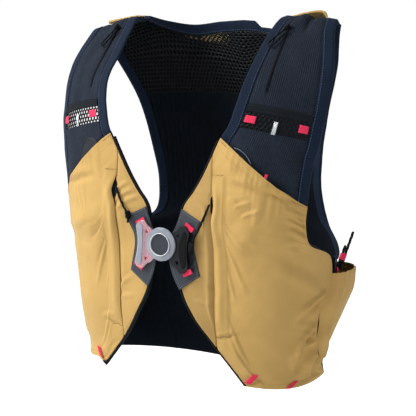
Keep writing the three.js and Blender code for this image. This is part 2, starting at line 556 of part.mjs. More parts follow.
// Round raised patch that shows above the right pocket.
function roundPatch() {
  const [u, v] = locate(PATCH.x, PATCH.z);
  const out = front.normal(u, v);
  const middle = front.point(u, v).addScaledVector(out, GAP);
  const patch = new THREE.CylinderGeometry(PATCH.radius - 0.6, PATCH.radius, PATCH.height, PATCH.sides);
  patch.translate(0, PATCH.height / 2, 0);
  patch.applyQuaternion(new THREE.Quaternion().setFromUnitVectors(vec(0, 1, 0), vec(-out.x, out.y, out.z)));
  patch.translate(-middle.x, middle.y, middle.z);
  add("round_patch_right", patch, "dark_plastic");
}

backPanel();
for (const side of SIDES) {
  frontPanel(side);
  frontTrim(side);
  sideTrim(side);
}
chestClasp();
roundPatch();

export default vest;
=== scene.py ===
# %% [markdown]
# A running vest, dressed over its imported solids.
# The solids give the place and size of every piece. This lesson gives each one its finish:
# tan cloth with folds, ribbed straps, flat bindings, nets with real holes, stitches and a chest clasp.
# Everything below is worked out in millimetres, as on a maker's drawing, and written to meshes in metres.

# %% load the frame
import json
import math

import bpy
import numpy as np
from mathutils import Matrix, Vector

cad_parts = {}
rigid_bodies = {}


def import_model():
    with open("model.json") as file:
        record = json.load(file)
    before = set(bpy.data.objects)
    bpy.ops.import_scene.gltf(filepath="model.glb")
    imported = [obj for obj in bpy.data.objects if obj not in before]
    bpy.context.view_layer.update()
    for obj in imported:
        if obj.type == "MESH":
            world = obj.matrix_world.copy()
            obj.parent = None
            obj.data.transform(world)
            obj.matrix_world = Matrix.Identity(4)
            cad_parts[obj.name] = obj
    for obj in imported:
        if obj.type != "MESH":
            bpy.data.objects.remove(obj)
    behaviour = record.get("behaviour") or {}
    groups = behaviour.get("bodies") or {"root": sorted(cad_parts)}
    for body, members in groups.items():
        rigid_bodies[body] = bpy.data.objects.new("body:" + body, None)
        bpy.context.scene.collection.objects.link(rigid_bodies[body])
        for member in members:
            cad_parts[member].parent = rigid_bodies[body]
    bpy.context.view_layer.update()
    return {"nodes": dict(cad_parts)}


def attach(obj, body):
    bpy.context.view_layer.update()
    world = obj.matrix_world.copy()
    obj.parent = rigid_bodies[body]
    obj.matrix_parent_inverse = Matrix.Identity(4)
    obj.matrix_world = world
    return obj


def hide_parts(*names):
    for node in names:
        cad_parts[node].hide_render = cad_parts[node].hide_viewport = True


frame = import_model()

MM = 0.001
SIDES = {"left": 1, "right": -1}

# %% [markdown]
# The camera comes first, because every later choice is judged through it.
# It stands to the wearer's left of the middle and a little above the chest, with a long lens,
# so that the two front halves keep nearly the same scale.

# %% camera
VIEW_TURN = 31.5  # degrees round from straight ahead
VIEW_RISE = 6.9  # degrees above the level
VIEW_RANGE = 1.8  # metres
VIEW_TARGET = Vector((0, 0, -0.222))
LENS = 133.2


def direction(turn, rise):
    """Unit vector from the vest towards a viewer or a lamp."""
    a, e = math.radians(turn), math.radians(rise)
    return Vector((math.sin(a) * math.cos(e), -math.cos(a) * math.cos(e), math.sin(e)))


def aim(obj, place, target):
    """Puts a camera or a lamp at a place, looking at the target."""
    obj.location = place
    obj.rotation_mode = "QUATERNION"
    obj.rotation_quaternion = (target - place).to_track_quat("-Z", "Y")
    bpy.context.scene.collection.objects.link(obj)
    return obj


camera_data = bpy.data.cameras.new("camera")
camera_data.lens = LENS
camera_place = VIEW_TARGET + direction(VIEW_TURN, VIEW_RISE) * VIEW_RANGE
camera = aim(bpy.data.objects.new("camera", camera_data), camera_place, VIEW_TARGET)
bpy.context.scene.camera = camera
bpy.context.scene.view_settings.view_transform = "Standard"
print("camera at", [round(x, 3) for x in camera.location])

# %% [markdown]
# A product picture on white needs light from everywhere and a soft key to model the folds.
# The world is white only near the horizon, and three large lamps do the modelling:
# the key stands high on the image's left, the fill on its right, and one lamp lights the back.
# The floor is a pale plane well below the vest, which hangs from the wearer's shoulders. It glows away from
# the vest, so that it fades into a white backdrop without lighting the cloth from below.

# %% light and floor
FLOOR_DROP, FLOOR_HALF = 0.8, 30  # metres
SKY_LOW, SKY_HIGH = 0.02, 0.12  # heights between which the sky darkens
SKY_BRIGHT, SKY_DIM = 1.02, 0.16
LAMPS = [
    # name, turn, rise, range, width, watts
    ("key", -46, 40, 2.2, 1.2, 63),
    ("fill", 60, 30, 2.4, 1.6, 3),
    ("rim", 165, 50, 2.4, 1.6, 16),
]

world = bpy.data.worlds.new("studio")
world.use_nodes = True
bpy.context.scene.world = world


def node(tree, kind, settings=None, inputs=None):
    """Adds a node, sets its options, and sets or links its inputs by name or number."""
    made = tree.nodes.new(kind)
    for key, value in (settings or {}).items():
        setattr(made, key, value)
    for key, value in (inputs or {}).items():
        if isinstance(value, bpy.types.NodeSocket):
            tree.links.new(value, made.inputs[key])
        else:
            made.inputs[key].default_value = value
    return made


sky = world.node_tree
place = node(sky, "ShaderNodeTexCoord")
height = node(sky, "ShaderNodeSeparateXYZ", None, {0: place.outputs["Generated"]})
steps = {1: SKY_LOW, 2: SKY_HIGH, 3: SKY_BRIGHT, 4: SKY_DIM}
fade = node(sky, "ShaderNodeMapRange", None, {0: height.outputs["Z"], **steps})
sky.links.new(fade.outputs[0], sky.nodes["Background"].inputs["Strength"])
sky.nodes["Background"].inputs["Color"].default_value = (1, 1, 1, 1)

for name, turn, rise, reach, width, watts in LAMPS:
    lamp = bpy.data.lights.new(name, "AREA")
    lamp.energy = watts
    lamp.size = width
    aim(bpy.data.objects.new(name, lamp), VIEW_TARGET + direction(turn, rise) * reach, VIEW_TARGET)

floor_mesh = bpy.data.meshes.new("floor")
corners = [(x * FLOOR_HALF, y * FLOOR_HALF, -FLOOR_DROP) for x, y in ((-1, -1), (1, -1), (1, 1), (-1, 1))]
floor_mesh.from_pydata(corners, [], [(0, 1, 2, 3)])
floor = bpy.data.objects.new("floor", floor_mesh)
bpy.context.scene.collection.objects.link(floor)
print("lamps:", len(LAMPS), "floor", FLOOR_DROP, "m below the shoulders")

# %% [markdown]
# The vest's shape is a short table of sections, the same that its solids are lofted through.
# Each row has the two ends of a section and how far the cloth swells between them.
# Reading the table as smooth curves gives a surface that every cloth piece can be laid on at any fineness.

# %% tables of sections
FRONT_COLUMNS = ("in_x", "in_y", "in_z", "out_x", "out_y", "out_z", "bow", "skew", "lean")
FRONT = {
    "hem": (98, -78, -407, 150, 8, -402, 18, 0, -20),
    "low": (59, -85, -362, 155, -20, -364, 20, 0.4, 0),
    "waist": (38, -93, -332, 160, -24, -328, 23, 0.5, 0),
    "tab_tip": (23, -94, -302, 166, -8, -292, 33, 0.5, 0),
    "clasp": (20, -94, -254, 164, -6, -266, 39, 0.5, 0),
    "tab_top": (24, -93, -212, 160, -50, -246, 26, 0.3, 0),
    "chest": (38, -93, -192, 159, -56, -225, 20, 0.1, 0),
    "corner": (51, -93, -172, 161, -56, -204, 15, 0, 0),
    "pocket": (73, -93, -130, 167, -54, -160, 10, 0, 4),
    "mesh_low": (80, -89, -117, 172, -50, -137, 8, 0, 8),
    "mesh_top": (85, -85, -100, 174.5, -46, -117, 7, 0, 14),
    "band": (87, -83, -92, 175.5, -43, -108, 6, 0, 18),
    "middle": (90.5, -74, -71, 177, -34, -76, 4, 0, 30),
    "upper": (91, -48, -42, 175, -19, -44, 3, 0, 45),
    "top": (93, -23, -17, 170, -3, -20, 2.5, 0, 60),
    "ridge": (97, 0, 0, 167, 10, -8, 2, 0, 85),
    "seam": (99, 16, -1, 165, 21, -12.5, 2, 0, 110),
}
BACK_COLUMNS = ("in_x", "in_y", "in_z", "out_x", "out_y", "out_z", "bow", "lean")
BACK = {
    "hem": (0, 97, -422, 150, 8, -402, 28, 0),
    "low": (0, 94, -367, 155, -20, -364, 46, 0),
    "waist": (0, 91, -330, 160, -24, -328, 52, 0),
    "side_top": (0, 89, -292, 166, -8, -292, 49, 0),
    "arm_low": (0, 88.5, -274, 165, -2, -275, 44, 0),
    "arm_base": (0, 88, -258, 160, 23, -270, 31, 0),
    "wing": (0, 88, -240, 149, 43, -259, 22, 0),
    "scye": (0, 88, -222, 122, 73, -240, 7, 0),
    "blade_low": (0, 89, -195, 114, 70, -202, 8, 0),
    "blade": (0, 91, -160, 118, 63, -162, 10, 0),
    "blade_top": (0, 92, -100, 132, 53, -102, 14, 10),
    "yoke": (0, 89, -55, 152, 36, -52, 16, 20),
}
NECKLINE = [(0, 83, -16), (32, 81, -18), (64, 73, -21), (91, 46, -12), (101, 19.2, -2)]
COLLAR_TOP = [(0, 80, -4), (31, 78, -6), (60, 68, -10), (82, 42, -6), (91, 18.2, -1.2)]
YOKE_NECK_SHARE = 0.58
YOKE_SHOULDER = np.array((165, 24, -13.6))
YOKE_ARCH, YOKE_SWELL, YOKE_WAY = 2, 13, np.array((0, 0.6, 0.8))
POCKET, MESH_LOW, MESH_TOP, BAND, SEAM_ROW = (
    list(FRONT).index(k) for k in ("pocket", "mesh_low", "mesh_top", "band", "seam"))
YOKE_ROW = len(BACK) - 1
BACK_TOP = YOKE_ROW + 1  # the row of the neckline and the shoulder seams
print("front sections:", len(FRONT), "back sections:", len(BACK))

# %% curves through the rows of a table


def lerp(a, b, t):
    return a + (b - a) * t


def smooth(x, low, high):
    """Rises from 0 at low to 1 at high."""
    t = np.clip((x - low) / (high - low), 0, 1)
    return t * t * (3 - 2 * t)


def hump(x, middle, width):
    """A bell that is 1 at its middle."""
    return np.exp(-(((x - middle) / width) ** 2))


def curve_through(points):
    """A centripetal Catmull-Rom curve through points, read by row number."""
    p = np.array(points, float)
    q = np.vstack([2 * p[0] - p[1], p, 2 * p[-1] - p[-2]])

    def at(v):
        v = np.clip(np.asarray(v, float), 0, len(p) - 1)
        i = np.minimum(v.astype(int), len(p) - 2)
        t = (v - i)[..., None]
        a, b, c, d = (q[i + k] for k in range(4))
        spans = np.stack([b - a, c - b, d - c])
        ab, bc, cd = np.sqrt(np.linalg.norm(spans, axis=-1, keepdims=True))
        start = ((b - a) / ab - (c - a) / (ab + bc) + (c - b) / bc) * bc
        end = ((c - b) / bc - (d - b) / (bc + cd) + (d - c) / cd) * bc
        return b + t * start + t**2 * (3 * (c - b) - 2 * start - end) + t**3 * (2 * (b - c) + start + end)

    return at


def column_of(values):
    """A column of a table, read smoothly between its rows."""
    x = np.array(values, float)

    def at(v):
        low = np.clip(np.floor(v).astype(int), 0, len(x) - 2)
        t = v - low
        a, b, c, d = (x[np.clip(low + k, 0, len(x) - 1)] for k in (-1, 0, 1, 2))
        bend = (2 * a - 5 * b + 4 * c - d) * t + (3 * b - a - 3 * c + d) * t * t
        return b + 0.5 * t * (c - a + bend)

    return at


def unit(vectors):
    return vectors / np.maximum(np.linalg.norm(vectors, axis=-1, keepdims=True), 1e-9)


# %% surfaces


class Surface:
    """A surface read across (u, from 0 to 1) and along (v, in rows), with its outward normal."""

    def __init__(self, point, facing, last):
        self.raw, self.facing, self.last = point, facing, last

    def point(self, u, v):
        u, v = np.broadcast_arrays(np.asarray(u, float), np.asarray(v, float))
        return self.raw(u, v)

    def normal(self, u, v):
        u, v = np.broadcast_arrays(np.asarray(u, float), np.asarray(v, float))
        across = self.raw(u + 0.01, v) - self.raw(u - 0.01, v)
        along = self.raw(u, np.minimum(v + 0.02, self.last)) - self.raw(u, np.maximum(v - 0.02, 0))
        return unit(np.cross(across, along)) * self.facing

    def at(self, u, v, lift=0.0):
        return self.point(u, v) + self.normal(u, v) * np.asarray(lift)[..., None]

    def share(self, u, v, distance):
        """The share of u that covers a distance in millimetres."""
        u = np.asarray(u)
        step = np.linalg.norm(self.point(u + 0.01, v) - self.point(u - 0.01, v), axis=-1)
        return distance * 0.02 / step


def loft(table, columns, facing):
    """Points of a surface through the sections of a table."""
    rows = np.array(list(table.values()), float)
    inner, outer = curve_through(rows[:, 0:3]), curve_through(rows[:, 3:6])
    read = {k: column_of(rows[:, columns.index(k)]) for k in columns[6:]}

    def point(u, v):
        a, b = inner(v), outer(v)
        chord = b - a
        lean = np.radians(read["lean"](v))
        flat = unit(np.stack([chord[..., 1], -chord[..., 0], np.zeros_like(v)], -1)) * facing
        out = flat * np.cos(lean)[..., None]
        out[..., 2] = np.sin(lean)
        skew = read["skew"](v) if "skew" in read else 0
        swell = 4 * u * (1 - u) * (1 + skew * (2 * u - 1)) * read["bow"](v)
        return a + chord * u[..., None] + out * swell[..., None]

    return point


# %% front, back and collar
neckline, collar_top = curve_through(NECKLINE), curve_through(COLLAR_TOP)
NECK_ROWS = len(NECKLINE) - 1
back_rows = loft(BACK, BACK_COLUMNS, -1)


def yoke_top(u):
    """Top edge of the yoke: the neckline, then the shoulder seam."""
    along = (u - YOKE_NECK_SHARE) / (1 - YOKE_NECK_SHARE)
    neck = neckline(np.abs(u) / YOKE_NECK_SHARE * NECK_ROWS)
    neck[..., 0] *= np.sign(u)
    seam = lerp(neckline(np.full(u.shape, NECK_ROWS)), YOKE_SHOULDER, along[..., None])
    seam[..., 2] += YOKE_ARCH * 4 * along * (1 - along)
    return np.where((along <= 0)[..., None], neck, seam)


def back_point(u, v):
    """The sections of the back, and the yoke above them."""
    t = np.clip(v - YOKE_ROW, 0, 1)
    swell = YOKE_SWELL * np.sin(np.pi * np.clip(u, 0, 1)) * 4 * t * (1 - t)
    base = back_rows(u, np.minimum(v, YOKE_ROW))
    top = lerp(base, yoke_top(u), t[..., None])
    return top + swell[..., None] * YOKE_WAY


front = Surface(loft(FRONT, FRONT_COLUMNS, 1), 1, len(FRONT) - 1)
back = Surface(back_point, -1, BACK_TOP)
collar = Surface(lambda u, v: lerp(neckline(v), collar_top(v), u[..., None]), -1, NECK_ROWS)
print("collar at the middle:", np.round(collar.point(0.5, 0.0)), "mm")

# %% finding a place on the front
LOCATE_STEPS = 14


def locate(x, z):
    """Where the front surface has a given x and z, by Newton's steps."""
    x, z = np.broadcast_arrays(np.asarray(x, float), np.asarray(z, float))
    last = len(FRONT) - 1
    heights = [r[2] for r in FRONT.values()]
    above = [next((k for k, h in enumerate(heights) if h > q), last) for q in z.ravel()]
    v = np.maximum(above, 1).reshape(z.shape) - 0.5
    u = np.full(x.shape, 0.2)
    for _ in range(LOCATE_STEPS):
        p = front.point(u, v)
        du = (front.point(u + 0.01, v) - p) * 100
        dv = (front.point(u, v + 0.01) - p) * 100
        det = du[..., 0] * dv[..., 2] - dv[..., 0] * du[..., 2]
        a, b = x - p[..., 0], z - p[..., 2]
        u = u + (a * dv[..., 2] - b * dv[..., 0]) / det
        v = np.clip(v + (b * du[..., 0] - a * du[..., 2]) / det, 0, last - 0.02)
    return u, v


# %% [markdown]
# The vest doesn't hang quite evenly: the left shoulder's outer corner stands higher than the right one,
# and the right front's lower corner is tucked in. Both are smooth shifts that are made at the very end.

# %% how the vest leans
LEFT_LEAN, RIGHT_LEAN = (-5, 0, 4.5), (0, 0, -6.5)
LEAN_HEIGHT, LEFT_REACH, RIGHT_REACH = (-75, -10), (112, 165), (98, 165)
CORNER_TUCK = (0, 0, 12)
TUCK_DROP, TUCK_REACH, TUCK_WAY = (362, 406), (116, 131), np.array((0.853, 0.5225, 0))


def leaning(points):
    """Points in millimetres after the shoulders have taken their lean."""
    near_top = smooth(points[:, 2], *LEAN_HEIGHT)
    left = near_top * smooth(points[:, 0], *LEFT_REACH)
    right = near_top * smooth(-points[:, 0], *RIGHT_REACH)
    corner = smooth(-points[:, 2], *TUCK_DROP) * smooth(-(points @ TUCK_WAY), *TUCK_REACH)
    shifts = (left, LEFT_LEAN), (right, RIGHT_LEAN), (corner, CORNER_TUCK)
    return points + sum(share[:, None] * np.array(shift) for share, shift in shifts)


print("shoulders lean by", LEFT_LEAN[2], "and", RIGHT_LEAN[2], "mm")

# %% [markdown]
# A cloth piece is a grid of points with a front and a back face, closed along its rim.
# The grid also gives each piece a UV map in metres, so that weave and ribs follow the cloth at true size.
# Every finished piece rides on the one body and stands for its solids.

# %% grids of points


def spread(across, along):
    """Shares across and along a grid with that many steps."""
    s, t = np.linspace(0, 1, across + 1), np.linspace(0, 1, along + 1)
    return np.broadcast_arrays(s[:, None], t[None, :])


def grid_faces(m, n):
    """Point numbers and four-sided faces of a grid of m by n points."""
    ids = np.arange(m * n).reshape(m, n)
    quads = np.stack([ids[:-1, :-1], ids[1:, :-1], ids[1:, 1:], ids[:-1, 1:]], -1)
    return ids, quads.reshape(-1, 4)


def outward(top, outside):
    """Normals of a grid, turned to the side that outside points to."""
    n = unit(np.cross(np.gradient(top, axis=0), np.gradient(top, axis=1)))
    return n * np.sign((n * outside).sum(-1).mean() or 1)


def cloth_lengths(top):
    """Distances across and along a grid, in millimetres."""
    across = np.zeros(top.shape[:2])
    along = np.zeros(top.shape[:2])
    across[1:] = np.linalg.norm(np.diff(top, axis=0), axis=2).cumsum(0)
    along[:, 1:] = np.linalg.norm(np.diff(top, axis=1), axis=2).cumsum(1)
    return across - across[len(top) // 2], along


# %% meshes and cloth walls


def write_uv(mesh, uv):
    """Gives a mesh the UV map of its points, in metres."""
    layer = mesh.uv_layers.new(name="cloth")
    index = np.zeros(len(mesh.loops), np.int32)
    mesh.loops.foreach_get("vertex_index", index)
    layer.data.foreach_set("uv", np.asarray(uv, np.float32)[index].ravel())


def add_piece(name, points, faces, finish, uv=None, crease=50):
    """A piece at the origin, with its place in its mesh. Points are in millimetres."""
    mesh = bpy.data.meshes.new(name)
    faces = faces if isinstance(faces, list) else faces.tolist()
    mesh.from_pydata((np.asarray(points) * MM).tolist(), [], faces)
    if uv is not None:
        write_uv(mesh, uv)
    mesh.shade_smooth()
    mesh.set_sharp_from_angle(angle=math.radians(crease))
    mesh.materials.append(finish)
    mesh.validate()
    obj = bpy.data.objects.new(name, mesh)
    bpy.context.scene.collection.objects.link(obj)
    return obj


def panel(name, top, low, finish, side=1, inner=None):
    """A closed cloth wall from its outer and inner grids, mirrored for the wearer's right.

    inner gives the inner face a lower and an upper finish, and the share of rows where they meet."""
    flip = (side, 1, 1)
    m, n = top.shape[:2]
    ids, quads = grid_faces(m, n)
    rim = np.concatenate([ids[:-1, 0], ids[-1, :-1], ids[:0:-1, -1], ids[0, :0:-1]])
    step = np.roll(rim, -1)
    walls = np.stack([step, rim, rim + m * n, step + m * n], -1)
    faces = np.concatenate([quads, quads[:, ::-1] + m * n, walls])
    i, j = m // 2, n // 2
    turn = np.cross(top[i, j] - top[i - 1, j], top[i, j] - top[i, j - 1]) @ (top[i, j] - low[i, j])
    if turn * side < 0:
        faces = faces[:, ::-1]
    uv = np.stack(cloth_lengths(top), -1).reshape(-1, 2) * MM
    points = np.concatenate([top.reshape(-1, 3), low.reshape(-1, 3)]) * flip
    obj = add_piece(name, points, faces, finish, np.concatenate([uv, uv]))
    if inner:
        lower, upper, share = inner
        obj.data.materials.append(lower)
        obj.data.materials.append(upper)
        choice = np.zeros(len(faces), np.int32)
        within = np.broadcast_to(np.arange(n - 1) < share * (n - 1), (m - 1, n - 1))
        choice[len(quads) : 2 * len(quads)] = np.where(within, 1, 2).reshape(-1)
        obj.data.polygons.foreach_set("material_index", choice)
    return obj


def both_halves(half):
    """The whole width of the back from its left half."""
    return np.concatenate([half[:0:-1] * (-1, 1, 1), half])


# %% what a piece stands for and what it is cut from


def stands_for(obj, slot, *nodes):
    """The piece rides on the body and replaces its solids. The slot is not used."""
    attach(obj, "root")
    if nodes:
        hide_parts(*nodes)
    return obj


def cut_from(rest):
    """Measures a sheet's flat cut on its smooth grid before any fold, and keeps nothing."""
    across, along = cloth_lengths(rest)


# %% [markdown]
# Cloth is never quite flat. Three small tools give it life: a seeded ripple of a chosen size,
# a fold along a line, and gathers that die away from a seam.
# A fold has a ridge and a shallow valley beside it, as real folds do.

# %% folds and ripples
RIPPLE_WAVES = 9
VALLEY_DEPTH, VALLEY_AWAY = 0.55, 1.7  # as shares of a fold's height and width


def ripple(points, size, seed):
    """A smooth wander between about -1 and 1, with features of a given size in millimetres."""
    rng = np.random.default_rng(seed)
    total = np.zeros(points.shape[:-1])
    for _ in range(RIPPLE_WAVES):
        wave = unit(rng.normal(size=3)) * 2 * np.pi / (size * rng.uniform(0.7, 1.6))
        total += np.sin(points @ wave + rng.uniform(0, 2 * np.pi))
    return total / 3.6


def fold(across, along, start, end, bend, width, height):
    """A ridge from start to end on the cloth, bowed sideways by bend."""
    a, b = np.array(start, float), np.array(end, float)
    length = np.linalg.norm(b - a)
    way = (b - a) / length
    t = ((across - a[0]) * way[0] + (along - a[1]) * way[1]) / length
    d = (along - a[1]) * way[0] - (across - a[0]) * way[1] - bend * 4 * t * (1 - t)
    ends = smooth(t, -0.08, 0.25) * (1 - smooth(t, 0.75, 1.08))
    return height * ends * (hump(d, 0, width) - VALLEY_DEPTH * hump(d, VALLEY_AWAY * width, width))


def gathers(distance, along, pitch, reach, height, seed):
    """Small puckers at right angles to a seam."""
    rng = np.random.default_rng(seed)
    turn = 2 * np.pi * along / pitch
    phase = turn + 1.6 * np.sin(turn / 3.7 + rng.uniform(0, 6))
    size = 0.6 + 0.4 * np.sin(turn / 5.3 + rng.uniform(0, 6))
    return height * size * np.sin(phase) * np.exp(-((distance / reach) ** 1.3))


# %% [markdown]
# The tan cloth is sewn in a little larger than its place, and that is where its folds come from.
# Blender's cloth solver can find them: the seams are pinned, the cloth is let grow by a few per cent,
# and a slight push keeps it outside. How far a point may move is capped, so it stays clear of the lining.

# %% letting cloth settle
SETTLE_STEPS = 24
SIDEWAYS = 0.6  # share of the cloth's sideways drift that is kept
WEAVE = {
    "quality": 6, "mass": 0.12, "air_damping": 4, "tension_stiffness": 20, "compression_stiffness": 20,
    "shear_stiffness": 8, "bending_stiffness": 3.0, "use_pressure": True, "vertex_group_mass": "seams",
}


def settle(top, outside, pinned, slack, push, inward, cap):
    """The grid after its cloth, pinned where the mask says, has found its own folds."""
    m, n = top.shape[:2]
    quads = grid_faces(m, n)[1]
    if (outward(top, outside) * np.cross(np.gradient(top, axis=0), np.gradient(top, axis=1))).sum() < 0:
        quads = quads[:, ::-1]
    mesh = bpy.data.meshes.new("settling")
    mesh.from_pydata((top.reshape(-1, 3) * MM).tolist(), [], quads.tolist())
    obj = bpy.data.objects.new("settling", mesh)
    bpy.context.scene.collection.objects.link(obj)
    group = obj.vertex_groups.new(name="seams")
    group.add(np.flatnonzero(pinned.ravel()).tolist(), 1.0, "REPLACE")
    cloth = obj.modifiers.new("cloth", "CLOTH")
    for key, value in {**WEAVE, "shrink_min": -slack, "uniform_pressure_force": push}.items():
        setattr(cloth.settings, key, value)
    cloth.settings.effector_weights.gravity = 0.3
    cloth.point_cache.frame_end = SETTLE_STEPS
    for step in range(1, SETTLE_STEPS + 1):
        bpy.context.scene.frame_set(step)
    seen = obj.evaluated_get(bpy.context.evaluated_depsgraph_get())
    co = np.zeros(m * n * 3, np.float32)
    seen.data.vertices.foreach_get("co", co)
    bpy.data.objects.remove(obj)
    bpy.context.scene.frame_set(1)
    shift = co.reshape(m, n, 3).astype(float) / MM - top
    rise = (shift * outside).sum(-1)
    held = np.clip(rise, inward, cap)
    print("cloth settled:", round(float(rise.min()), 1), "to", round(float(rise.max()), 1), "mm")
    return top + (shift - rise[..., None] * outside) * SIDEWAYS + held[..., None] * outside


# %% [markdown]
# The finishes are procedural. Woven and knitted cloth reads the UV map, where one unit is a metre,
# so a thread pitch is written as a real size. A wave of threads across and along makes the weave,
# and slow noise keeps large panels from looking printed.

# %% nodes for finishes
WAVE_PERIOD = 2 * math.pi / 20  # of Blender's wave texture at scale 1


def paint(code):
    """Linear colour of a six-digit colour code."""
    parts = [int(code[k : k + 2], 16) / 255 for k in (0, 2, 4)]
    return tuple(c / 12.92 if c <= 0.04045 else ((c + 0.055) / 1.055) ** 2.4 for c in parts) + (1.0,)


def new_finish(name, roughness, sheen=0.0, metallic=0.0, specular=0.5):
    material = bpy.data.materials.new(name)
    material.use_nodes = True
    shader = material.node_tree.nodes["Principled BSDF"]
    shader.inputs["Roughness"].default_value = roughness
    shader.inputs["Metallic"].default_value = metallic
    shader.inputs["Specular IOR Level"].default_value = specular
    if sheen:
        shader.inputs["Sheen Weight"].default_value = sheen
        shader.inputs["Sheen Roughness"].default_value = 0.45
    return material, material.node_tree, shader


def mixed(tree, factor, a, b):
    return node(tree, "ShaderNodeMix", {"data_type": "RGBA"}, {0: factor, 6: a, 7: b}).outputs[2]


def math_of(tree, operation, a, b):
    return node(tree, "ShaderNodeMath", {"operation": operation}, {0: a, 1: b}).outputs[0]


def threads(tree, vector, way, pitch):
    """Bands of threads a pitch apart, in metres."""
    inputs = {"Vector": vector, "Scale": WAVE_PERIOD / pitch}
    return node(tree, "ShaderNodeTexWave", {"bands_direction": way}, inputs).outputs["Fac"]


def noise(tree, vector, scale, detail):
    inputs = {"Vector": vector, "Scale": scale, "Detail": detail}
    return node(tree, "ShaderNodeTexNoise", None, inputs).outputs["Fac"]


def bumped(tree, shader, strength, relief, height):
    """Gives a shader a bump of a relief in millimetres."""
    inputs = {"Strength": strength, "Distance": relief * MM, "Height": height}
    tree.links.new(node(tree, "ShaderNodeBump", None, inputs).outputs[0], shader.inputs["Normal"])


# %% woven and knitted finishes
BLOTCH = 0.035  # metres


def lerp_fac(tree, value, share):
    """1 where share is 0, and the value itself where share is 1."""
    return math_of(tree, "ADD", math_of(tree, "MULTIPLY", value, share), 1.0 - share)


def cloth_finish(name, light, dark, across, along, roughness, sheen, relief, rib_share=0.0, gloss=0.1):
    """Cloth of two thread systems. rib_share is how far the threads across show as ribs of colour."""
    material, tree, shader = new_finish(name, roughness, sheen, specular=gloss)
    uv = node(tree, "ShaderNodeTexCoord").outputs["UV"]
    warp, weft = threads(tree, uv, "X", across), threads(tree, uv, "Y", along)
    slow = noise(tree, uv, 1 / BLOTCH, 3.0)
    fleck = noise(tree, uv, 0.6 / across, 1.0)
    weave = math_of(tree, "MULTIPLY", warp, weft)
    shade = math_of(tree, "MULTIPLY", lerp_fac(tree, warp, rib_share), fleck)
    slow_part, shade_part = math_of(tree, "MULTIPLY", slow, 0.5), math_of(tree, "MULTIPLY", shade, 0.8)
    tone = math_of(tree, "ADD", slow_part, shade_part)
    tree.links.new(mixed(tree, tone, paint(dark), paint(light)), shader.inputs["Base Color"])
    raised = math_of(tree, "ADD", weave, math_of(tree, "MULTIPLY", warp, rib_share))
    bumped(tree, shader, 0.5, relief, raised)
    return material


TAN = cloth_finish("tan_cloth", "cca866", "a3824a", 0.0005, 0.0006, 0.62, 0.08, 0.05)
# A darker copy of the tan for the left placket: painted shade, standing in for the shade the strip lies in.
PAINTED_SHADE_TAN = cloth_finish("tan_placket_painted_shade", "b8975c", "937542", 0.0005, 0.0006, 0.62, 0.08, 0.05)
RIBBED = cloth_finish("ribbed_cloth", "2f3847", "05070b", 0.0023, 0.0011, 0.85, 0.03, 0.25, rib_share=0.9)
NAVY = cloth_finish("navy_binding", "1a283c", "0a121e", 0.0011, 0.0009, 0.80, 0.04, 0.08, rib_share=0.25)
LINING = cloth_finish("lining_mesh", "1e2733", "0b1017", 0.0020, 0.0016, 0.85, 0.05, 0.20, rib_share=0.5)
SMOOTH_BACK = cloth_finish("back_knit", "0a131d", "03060a", 0.0030, 0.0012, 0.80, 0.0, 0.18, rib_share=0.6)
RED = cloth_finish("red_webbing", "f8446a", "c81c40", 0.0012, 0.0009, 0.65, 0.10, 0.15, rib_share=0.4)
BLACK = cloth_finish("black_trim", "15181d", "050608", 0.0008, 0.0008, 0.70, 0.04, 0.10, rib_share=0.3)
ELASTIC = cloth_finish("elastic_tape", "1c2128", "080a0e", 0.0011, 0.0022, 0.75, 0.04, 0.15, rib_share=0.5)
NET = cloth_finish("net_yarn", "0b0e11", "030405", 0.0008, 0.0008, 0.40, 0.0, 0.05, gloss=0.14)
# A near-white tan for the shell's inner face near its mouths: painted light, where little real light
# reaches.
PAINTED_LIGHT_TAN = cloth_finish("painted_light_tan", "ffe9b4", "ecca84", 0.0005, 0.0006, 0.62, 0.0, 0.05)
PIPING = cloth_finish("piping", "757c85", "565c64", 0.0008, 0.0008, 0.60, 0.04, 0.05)
print("cloth finishes:", len(bpy.data.materials))

# %% [markdown]
# Moulded and bonded pieces read Object coordinates, because they have no cloth direction.
# A fine noise gives them the slight grain of a mould, and a slower one breaks up the gloss.
# The clear plastic lets some light through, so the red webbing behind it shows as pink.

# %% moulded and bonded finishes


def moulded_finish(name, light, dark, roughness, grain, relief, metallic=0.0, clear=0.0, gloss=0.3):
    """Plastic or film, with a grain in metres and a relief in millimetres."""
    material, tree, shader = new_finish(name, roughness, metallic=metallic, specular=gloss)
    place = node(tree, "ShaderNodeTexCoord").outputs["Object"]
    slow = noise(tree, place, 60.0, 2.0)
    tree.links.new(mixed(tree, slow, paint(dark), paint(light)), shader.inputs["Base Color"])
    bumped(tree, shader, 0.3, relief, noise(tree, place, 1 / grain, 2.0))
    if clear:
        shader.inputs["Transmission Weight"].default_value = clear
        shader.inputs["IOR"].default_value = 1.46
    return material


FILM = moulded_finish("grey_film", "3a4048", "2b3037", 0.55, 0.0009, 0.10)
SILVER = moulded_finish("silver_tape", "d5d8db", "a9adb2", 0.30, 0.0006, 0.05, metallic=0.55)
CLEAR = moulded_finish("clear_plastic", "f9d5dd", "efc3ce", 0.14, 0.0012, 0.03, clear=0.72)
RING_CLEAR = moulded_finish("ring_plastic", "b2b7c3", "888e9b", 0.16, 0.0012, 0.02, clear=0.3)
# The ring's raised inner rim is real; its near-white colour is a painted highlight.
RIM_PAINTED_HIGHLIGHT = moulded_finish("rim_painted_highlight", "eceef2", "cfd3da", 0.12, 0.0012, 0.02)
DISC_GREY = moulded_finish("disc_plastic", "30363e", "272c33", 0.42, 0.0008, 0.06)
DARK = moulded_finish("dark_plastic", "1b1e22", "131518", 0.45, 0.0009, 0.06, gloss=0.2)
WING = moulded_finish("wing_plastic", "0b0c0e", "060708", 0.50, 0.0009, 0.06, gloss=0.12)
PATCH = moulded_finish("patch_film", "1c222b", "13171e", 0.65, 0.0009, 0.06)

